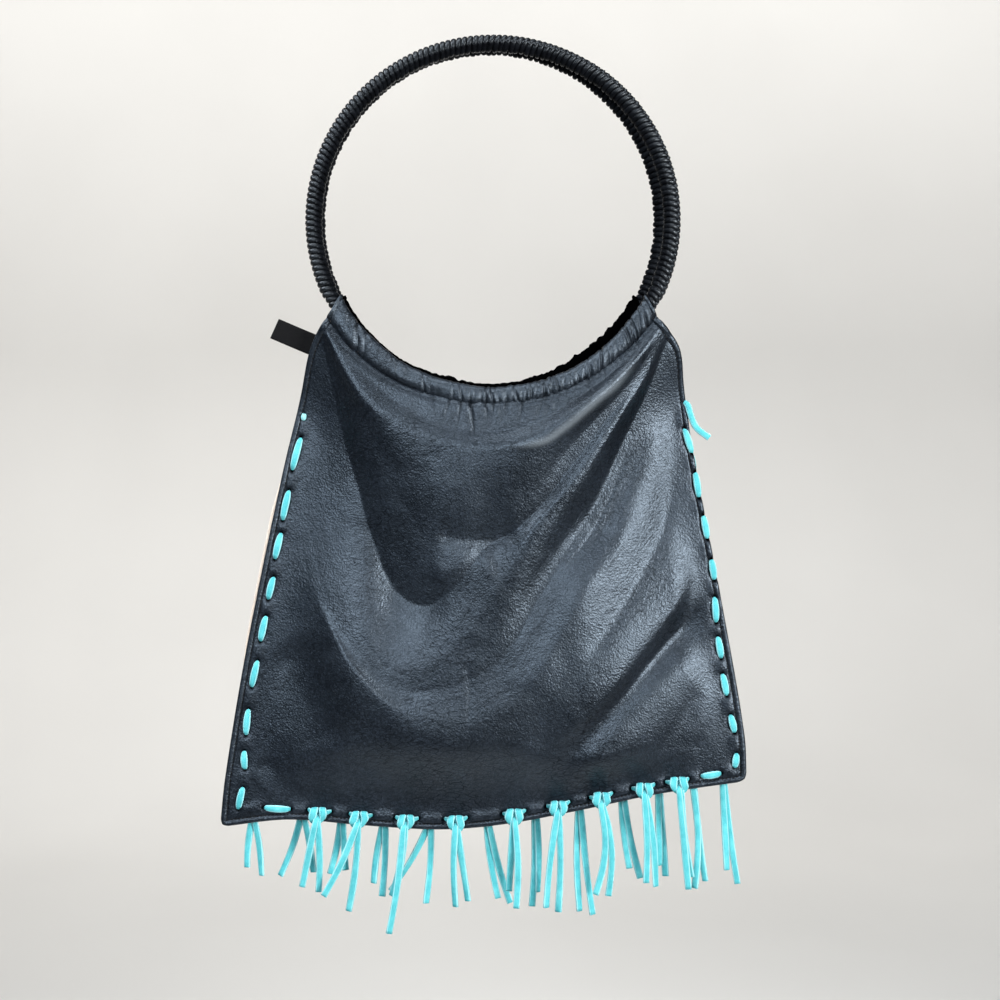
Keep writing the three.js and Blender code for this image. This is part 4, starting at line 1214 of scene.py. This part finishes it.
# Materials
class Graph:
    """A material's node tree, with short calls that add a node and give back one of its outputs."""

    def __init__(self, name):
        self.material = bpy.data.materials.new(name)
        self.material.use_nodes = True
        self.tree = self.material.node_tree
        self.tree.nodes.clear()
        self.shader = self.tree.nodes.new("ShaderNodeBsdfPrincipled")
        output = self.tree.nodes.new("ShaderNodeOutputMaterial")
        self.feed(output.inputs["Surface"], self.shader.outputs["BSDF"])
        self.coordinates = self.node("TexCoord", "Object", {})

    def feed(self, socket, value):
        """Joins a socket to another, or sets its fixed value."""
        if isinstance(value, bpy.types.NodeSocket):
            self.tree.links.new(value, socket)
        else:
            socket.default_value = value

    def node(self, kind, output, inputs, **settings):
        node = self.tree.nodes.new(f"ShaderNode{kind}")
        for key, value in settings.items():
            setattr(node, key, value)
        for key, value in inputs.items():
            self.feed(node.inputs[key], value)
        return node.outputs[output]

    def noise(self, scale, detail, roughness, vector=None, output="Fac"):
        vector = vector or self.coordinates
        inputs = {"Vector": vector, "Scale": scale, "Detail": detail, "Roughness": roughness}
        return self.node("TexNoise", output, inputs)

    def cells(self, scale, vector, feature="F1"):
        return self.node("TexVoronoi", "Distance", {"Vector": vector, "Scale": scale}, feature=feature)

    def bands(self, scale, direction, distortion):
        inputs = {"Vector": self.coordinates, "Scale": scale, "Distortion": distortion}
        return self.node("TexWave", "Fac", inputs, wave_type="BANDS", bands_direction=direction)

    def stretched(self, vector, scale, turn=0.0):
        inputs = {"Vector": vector, "Scale": scale, "Rotation": (0.0, turn, 0.0)}
        return self.node("Mapping", "Vector", inputs)

    def warped(self, scale, amount):
        """Coordinates pushed about by a noise."""
        push = self.noise(scale, 2.0, 0.5, output="Color")
        inputs = {0: push, 1: (amount, amount, amount), 2: self.coordinates}
        return self.node("VectorMath", "Vector", inputs, operation="MULTIPLY_ADD")

    def away(self, place):
        """Distance from a place."""
        return self.node("VectorMath", "Value", {0: self.coordinates, 1: place}, operation="DISTANCE")

    def attribute(self, name):
        return self.node("Attribute", "Fac", {}, attribute_name=name)

    def maths(self, operation, a, b):
        return self.node("Math", "Value", {0: a, 1: b}, operation=operation)

    def weighted(self, first, share, second):
        """Two values added by shares that make one."""
        rest = self.maths("MULTIPLY", second, 1 - share)
        return self.maths("ADD", self.maths("MULTIPLY", first, share), rest)

    def ramp(self, source, low, high, to_low=0.0, to_high=1.0):
        inputs = {"Value": source, "From Min": low, "From Max": high, "To Min": to_low, "To Max": to_high}
        return self.node("MapRange", "Result", inputs)

    def blend(self, share, colour, other):
        """A colour drawn towards another, fixed one."""
        return self.node("Mix", 2, {0: share, 6: colour, 7: (*other, 1.0)}, data_type="RGBA")

    def colours(self, source, stops):
        node = self.tree.nodes.new("ShaderNodeValToRGB")
        elements = node.color_ramp.elements
        while len(elements) < len(stops):
            elements.new(0.5)
        for element, (place, colour) in zip(elements, stops):
            element.position = place
            element.color = (*colour, 1.0)
        self.feed(node.inputs["Fac"], source)
        return node.outputs["Color"]

    def creases(self, weight, scale, width, patches, push, stretch=(1.0, 1.0, 1.0), turn=0.0):
        """Fine lines between stretched cells, in patches: weight on a line, 0 away from it."""
        vector = self.stretched(self.warped(0.6 * scale, push / scale), stretch, math.radians(turn))
        edge = self.cells(scale, vector, "DISTANCE_TO_EDGE")
        where = self.ramp(self.noise(patches, 2.0, 0.55), 0.36, 0.58, 0.0, weight)
        return self.maths("MULTIPLY", self.ramp(edge, 0.0, width, 1.0, 0.0), where)

    def bumps(self, *layers):
        """Normals of layers laid over each other, each with its height, strength and distance."""
        inputs = {}
        for height, strength, distance in layers:
            inputs.update({"Height": height, "Strength": strength, "Distance": distance})
            inputs["Normal"] = self.node("Bump", "Normal", inputs)
        return inputs["Normal"]

    def finish(self, **inputs):
        for key, value in inputs.items():
            name = key.replace("_", " ").title().replace("Ior", "IOR")
            self.feed(self.shader.inputs[name], value)
        return self.material


def leather_material(name, gloss, smooth):
    """Soft black hide: pebble grain, creases that run every way, and a slate gloss that varies; painted shade
    darkens it and takes its gloss where marked, and a painted highlight makes it paler along crests.
    """
    g = Graph(name)
    fine = g.noise(1500.0, 3.0, 0.6)
    tone = g.weighted(g.noise(38.0, 5.0, 0.6), 0.6, fine)
    crumple = g.noise(560.0, 5.0, 0.65, g.warped(160.0, 0.004))
    grain = g.cells(1100.0, g.warped(500.0, 0.0006))
    net = g.creases(0.45, 400.0, 0.10, 45.0, 1.6)
    slant = g.creases(0.8, 190.0, 0.08, 30.0, 0.5, (1.0, 1.0, 3.6), 48)
    long = g.creases(0.55, 60.0, 0.03, 14.0, 1.2, (1.0, 1.0, 2.4), 12)
    lines = g.maths("MAXIMUM", g.maths("MAXIMUM", net, slant), long)
    hair = g.creases(0.65, 300.0, 0.09, 40.0, 1.4, (1.0, 1.0, 2.0), -35)
    flecks = g.maths("MULTIPLY", g.ramp(fine, 0.48, 0.66), g.ramp(crumple, 0.44, 0.62))
    shade = g.attribute("shade")
    colour = g.colours(tone, [
        (0.3, (0.0022, 0.0030, 0.0046)),
        (0.55, (0.0034, 0.0048, 0.0072)),
        (0.75, (0.0060, 0.0084, 0.0122)),
    ])
    colour = g.blend(g.maths("MAXIMUM", flecks, hair), colour, (0.015, 0.020, 0.029))
    colour = g.blend(lines, colour, (0.0012, 0.0016, 0.0024))
    # Painted highlight: the colour drawn paler along the listed crests
    colour = g.blend(g.attribute("worn"), colour, (0.090, 0.105, 0.120))
    # Painted shade: colour darkened and gloss taken away where the shade mark is set
    colour = g.blend(g.ramp(shade, 0.25, 0.75), colour, (0.0004, 0.0004, 0.0005))
    dull = g.maths("MAXIMUM", shade, g.maths("MULTIPLY", lines, 0.6))
    return g.finish(
        base_color=colour,
        roughness=g.ramp(tone, 0.3, 0.7, smooth - 0.09, smooth + 0.09),
        normal=g.bumps(
            (crumple, 0.6, 0.00024), (grain, 1.0, 0.0001), (fine, 0.6, 0.00012), (lines, -1.0, 0.0003)),
        specular_ior_level=g.ramp(dull, 0.0, 0.75, gloss, 0.0),
        specular_tint=(0.66, 0.82, 1.0, 1.0),
    )


def suede_material():
    """Turquoise suede: short nap, small colour drift, paler cut edges (partly their own colour, partly a
    painted highlight), no gloss.
    """
    g = Graph("turquoise suede")
    drift = g.noise(160.0, 4.0, 0.6)
    nap = g.noise(2600.0, 3.0, 0.7)
    colour = g.colours(g.weighted(drift, 0.6, nap), [
        (0.3, (0.032, 0.235, 0.265)),
        (0.5, (0.066, 0.345, 0.385)),
        (0.7, (0.118, 0.445, 0.48)),
    ])
    return g.finish(
        # Cut edges paler: partly the cut's own colour, partly a painted highlight where the edges catch light
        base_color=g.blend(g.maths("MULTIPLY", g.attribute("cut_edge"), 0.6), colour, (0.31, 0.56, 0.60)),
        roughness=g.ramp(drift, 0.3, 0.7, 0.85, 0.98),
        normal=g.bumps((nap, 0.8, 0.0003), (drift, 0.35, 0.0006)),
        specular_ior_level=0.15,
    )


def cord_material(name, ring, gloss):
    """Waxed black cord: twisted threads under a thin gloss; the gloss fades out towards the inside of its
    ring as painted shade.
    """
    g = Graph(name)
    drift = g.noise(260.0, 4.0, 0.6)
    threads = g.bands(900.0, "DIAGONAL", 2.0)
    fibre = g.noise(3500.0, 3.0, 0.6)
    from_middle = g.away(tuple(ring_frame(ring)[3] * MM))
    colour = g.colours(drift, [
        (0.35, (0.0025, 0.0028, 0.0036)),
        (0.6, (0.0045, 0.0052, 0.0068)),
        (0.8, (0.0080, 0.0092, 0.0122)),
    ])
    inner, outer = (ring["radius"] - 1.6) * MM, (ring["radius"] + 1.0) * MM
    return g.finish(
        base_color=colour,
        roughness=g.ramp(drift, 0.3, 0.7, 0.3, 0.46),
        normal=g.bumps((threads, 0.18, 0.00015), (fibre, 0.2, 0.0001)),
        # Painted shade: gloss taken away on the inside of the ring
        specular_ior_level=g.ramp(from_middle, inner, outer, 0.02, gloss),
        specular_tint=(0.80, 0.90, 1.0, 1.0),
    )


def cloth_material():
    """Plain woven cream cloth with a faint rose cast in its yarns."""
    g = Graph("plain woven cloth")
    drift = g.noise(60.0, 4.0, 0.6)
    weave = g.maths("MAXIMUM", g.bands(430.0, "X", 1.2), g.bands(430.0, "Z", 1.2))
    slub = g.noise(900.0, 4.0, 0.6, g.stretched(g.coordinates, (1.0, 1.0, 0.3)))
    colour = g.colours(g.weighted(drift, 0.3, slub), [
        (0.32, (0.60, 0.50, 0.43)),
        (0.5, (0.66, 0.57, 0.485)),
        (0.7, (0.72, 0.64, 0.55)),
    ])
    return g.finish(
        base_color=colour,
        roughness=g.ramp(drift, 0.3, 0.7, 0.8, 0.95),
        normal=g.bumps((weave, 0.45, 0.00025), (slub, 0.3, 0.0004)),
        specular_ior_level=0.25,
        sheen_weight=0.2,
        sheen_roughness=0.6,
    )


def tape_material():
    """Black woven label tape with fine ribs."""
    g = Graph("black woven tape")
    drift = g.noise(300.0, 4.0, 0.6)
    ribs = g.bands(700.0, "X", 0.4)
    colour = g.colours(g.weighted(drift, 0.7, ribs), [
        (0.25, (0.0012, 0.0012, 0.0015)),
        (0.6, (0.0024, 0.0024, 0.0030)),
        (0.9, (0.0050, 0.0050, 0.0062)),
    ])
    return g.finish(
        base_color=colour,
        roughness=g.ramp(drift, 0.3, 0.7, 0.6, 0.8),
        normal=g.bumps((g.maths("MAXIMUM", ribs, g.bands(500.0, "Z", 0.4)), 0.35, 0.0002)),
        specular_ior_level=0.08,
    )


def plain_material(name, scale, stops, roughness, bump, relief=None):
    """A material whose colour and roughness drift a little, with a low relief."""
    g = Graph(name)
    drift = g.noise(scale, *bump["drift"])
    return g.finish(
        base_color=g.colours(drift, stops),
        roughness=g.ramp(drift, 0.3, 0.7, *roughness),
        normal=g.bumps((g.bands(*relief) if relief else drift, bump["strength"], bump["distance"])),
        specular_ior_level=0.2,
    )


def thread_material():
    """Black machine thread."""
    stops = [(0.3, (0.001, 0.001, 0.0012)), (0.7, (0.003, 0.0032, 0.0038))]
    bump = {"drift": (3.0, 0.6), "strength": 0.3, "distance": 0.0001}
    return plain_material("black thread", 900.0, stops, (0.5, 0.7), bump, (2200.0, "DIAGONAL", 0.5))


def stage_material():
    stops = [(0.3, (0.74, 0.73, 0.71)), (0.7, (0.78, 0.77, 0.75))]
    bump = {"drift": (2.0, 0.5), "strength": 0.02, "distance": 0.001}
    return plain_material("pale studio floor", 2.0, stops, (0.75, 0.85), bump)


# Stage, light and camera, in millimetres but for the lamps
CAMERA = {"x": 3.15, "distance": 600.0, "z": -201.15, "lens": 48.0, "sensor": 36.0}
FLOOR_Z = -760.0
FLOOR_FRONT = -3500.0
WALL_Y = 2400.0
COVE = 900.0
WALL_TOP = 2600.0
STAGE_HALF = 4000.0


def studio_stage():
    turn = np.linspace(0, math.pi / 2, 16)
    cove = np.stack([WALL_Y - COVE + COVE * np.sin(turn), FLOOR_Z + COVE - COVE * np.cos(turn)], axis=1)
    profile = np.vstack([[(FLOOR_FRONT, FLOOR_Z)], cove, [(WALL_Y, WALL_TOP)]])
    points = np.array([[(x, y, z) for y, z in profile] for x in (-STAGE_HALF, STAGE_HALF)])
    mesh = bpy.data.meshes.new("studio_floor")
    faces = lattice(2, len(profile))
    mesh.from_pydata((points.reshape(-1, 3) * MM).tolist(), [], faces.tolist())
    mesh.polygons.foreach_set("use_smooth", [True] * len(mesh.polygons))
    mesh.materials.append(stage_material())
    floor = bpy.data.objects.new("studio_floor", mesh)
    bpy.context.scene.collection.objects.link(floor)


# Lamps in front of the bag: azimuth to the right, elevation, width and height in metres, power and colour
LAMP_AIM = Vector((0.0, 0.0, -0.22))
LAMP_DISTANCE = 1.35
LAMP_SPREAD = 60.0
FRONT_LAMPS = {
    "key": (39, 7, 0.5, 0.6, 4.6, (1.0, 0.985, 0.96)),
    "left": (-18, 16, 0.6, 0.5, 1.9, (0.93, 0.97, 1.0)),
    "far left": (-75, 40, 0.6, 0.6, 2.6, (0.93, 0.97, 1.0)),
    "top": (0, 70, 0.9, 0.6, 2.4, (0.95, 0.98, 1.0)),
}

# Lamps behind the bag: place, aim, width and height in metres, power, colour and spread
REAR_LAMPS = {
    "wall wash": ((0.0, 1.5, 1.7), (0.0, 2.4, -0.2), (4.5, 0.4), 42.0, (1.0, 0.99, 0.97), 130.0),
    "rear fill": ((0.1, 1.5, -0.1), LAMP_AIM, (0.9, 0.9), 1.0, (1.0, 0.99, 0.97), LAMP_SPREAD),
}
SURROUNDINGS = {"colour": (0.70, 0.85, 1.0, 1.0), "strength": 0.033}


def area_light(name, place, target, size, power, colour, spread):
    lamp = bpy.data.lights.new(name, "AREA")
    lamp.spread = math.radians(spread)
    lamp.shape = "RECTANGLE"
    lamp.size, lamp.size_y = size
    lamp.energy = power
    lamp.color = colour
    light = bpy.data.objects.new(name, lamp)
    light.location = place
    direction = Vector(target) - Vector(place)
    light.rotation_euler = direction.to_track_quat("-Z", "Y").to_euler()
    bpy.context.scene.collection.objects.link(light)


def studio_light():
    scene = bpy.context.scene
    scene.view_settings.view_transform = "Standard"
    world = bpy.data.worlds.new("studio")
    world.use_nodes = True
    background = world.node_tree.nodes["Background"]
    background.inputs["Color"].default_value = SURROUNDINGS["colour"]
    background.inputs["Strength"].default_value = SURROUNDINGS["strength"]
    scene.world = world
    for name, (azimuth, elevation, width, height, power, colour) in FRONT_LAMPS.items():
        a, e = math.radians(azimuth), math.radians(elevation)
        toward = Vector((math.sin(a) * math.cos(e), -math.cos(a) * math.cos(e), math.sin(e)))
        place = LAMP_AIM + LAMP_DISTANCE * toward
        area_light(name, place, LAMP_AIM, (width, height), power, colour, LAMP_SPREAD)
    for name, values in REAR_LAMPS.items():
        area_light(name, *values)


def studio_camera():
    data = bpy.data.cameras.new("camera")
    data.lens = CAMERA["lens"]
    data.sensor_width = CAMERA["sensor"]
    data.clip_start = 0.01
    camera = bpy.data.objects.new("camera", data)
    camera.location = (CAMERA["x"] * MM, -CAMERA["distance"] * MM, CAMERA["z"] * MM)
    camera.rotation_euler = (math.pi / 2, 0.0, 0.0)
    bpy.context.scene.collection.objects.link(camera)
    bpy.context.scene.camera = camera


# Assembly
studio_camera()
studio_stage()
studio_light()

leather = leather_material("soft black leather", gloss=0.5, smooth=0.36)
gathered_leather = leather_material("gathered black leather", gloss=0.6, smooth=0.43)
# Dull copy of the leather for the rear casing: partly a duller lining, partly painted shade where it lies
# behind the front casing
dull_leather = leather_material("dull black leather", gloss=0.0, smooth=0.8)
suede = suede_material()
front_cord = cord_material("waxed black cord", FRONT_RING, gloss=0.42)
# Painted shade: the cord behind is a duller copy, standing for the shade it hangs in behind the front ring
rear_cord = cord_material("waxed black cord behind, dulled as painted shade", REAR_RING, gloss=0.14)
cloth = cloth_material()
tape = tape_material()
thread = thread_material()

gather_rng = np.random.default_rng(7)
front_grooves = casing_grooves(gather_rng, casing_arc(FRONT_RING), tight_from=0.36, tight=2.4, loose=6.0)
rear_grooves = casing_grooves(gather_rng, casing_arc(REAR_RING), tight_from=0.05, tight=3.4, loose=5.0)


def rear_spread(v):
    """How far the cloth's left edge lies inside the leather's, or shows past it halfway down."""
    shows = smoothstep(v, 0.26, 0.4) * (1 - smoothstep(v, 0.62, 0.78))
    return REAR_SHOWS * shows - REAR_INSIDE * fade_ends(v, REAR_ENDS)


def creases_below(grooves, ring, rng):
    """Creases that a casing's gathers leave in its panel, as places from the middle."""
    below = []
    for at, depth, width, slant, _, _ in grooves:
        length = rng.uniform(*CREASE_BELOW["length"])
        place = at - casing_arc(ring) / 2
        below.append((place, CREASE_BELOW["depth"] * depth, width, CREASE_BELOW["slant"] * slant, length))
    return below


wound_ring("front_ring", FRONT_RING, 1, 21, front_cord)
wound_ring("rear_ring", REAR_RING, -1, 22, rear_cord)
front_casing = casing("front_casing", FRONT_RING, 1, gathered_leather, front_grooves, FRONT_PUFF, steps=460)
rear_casing = casing("rear_casing", REAR_RING, -1, dull_leather, rear_grooves, REAR_PUFF, steps=340)
front_creases = [*FRONT_CREASES, *creases_below(front_grooves, FRONT_RING, gather_rng)]
rear_creases = creases_below(rear_grooves, REAR_RING, gather_rng)
front = Panel(FRONT_RING, -1, FRONT_DRAPE, FRONT_RELIEF, FRONT_FOLDS, front_creases, seed=3)
rear = Panel(REAR_RING, 1, REAR_DRAPE, REAR_RELIEF, REAR_FOLDS, rear_creases, seed=4, spread=rear_spread)
front_panel = panel_piece("front_panel_hide", front, 289, 257, leather, "black_leather", "front_panel")
rear_panel = panel_piece("rear_panel_cloth", rear, 205, 185, cloth, "back_cloth", "rear_panel")
edge_stitches("front_stitches", front, thread)
edge_stitches("rear_stitches", rear, thread)
edge_lace(suede)
label = label_tab(tape)
for i, row in enumerate(FRONT_TASSELS):
    tassel(f"front_tassel_{i + 1}", row, -1, 100 + i, suede)
for i, row in enumerate(REAR_TASSELS):
    tassel(f"rear_tassel_{i + 1}", row, 1, 200 + i, suede)
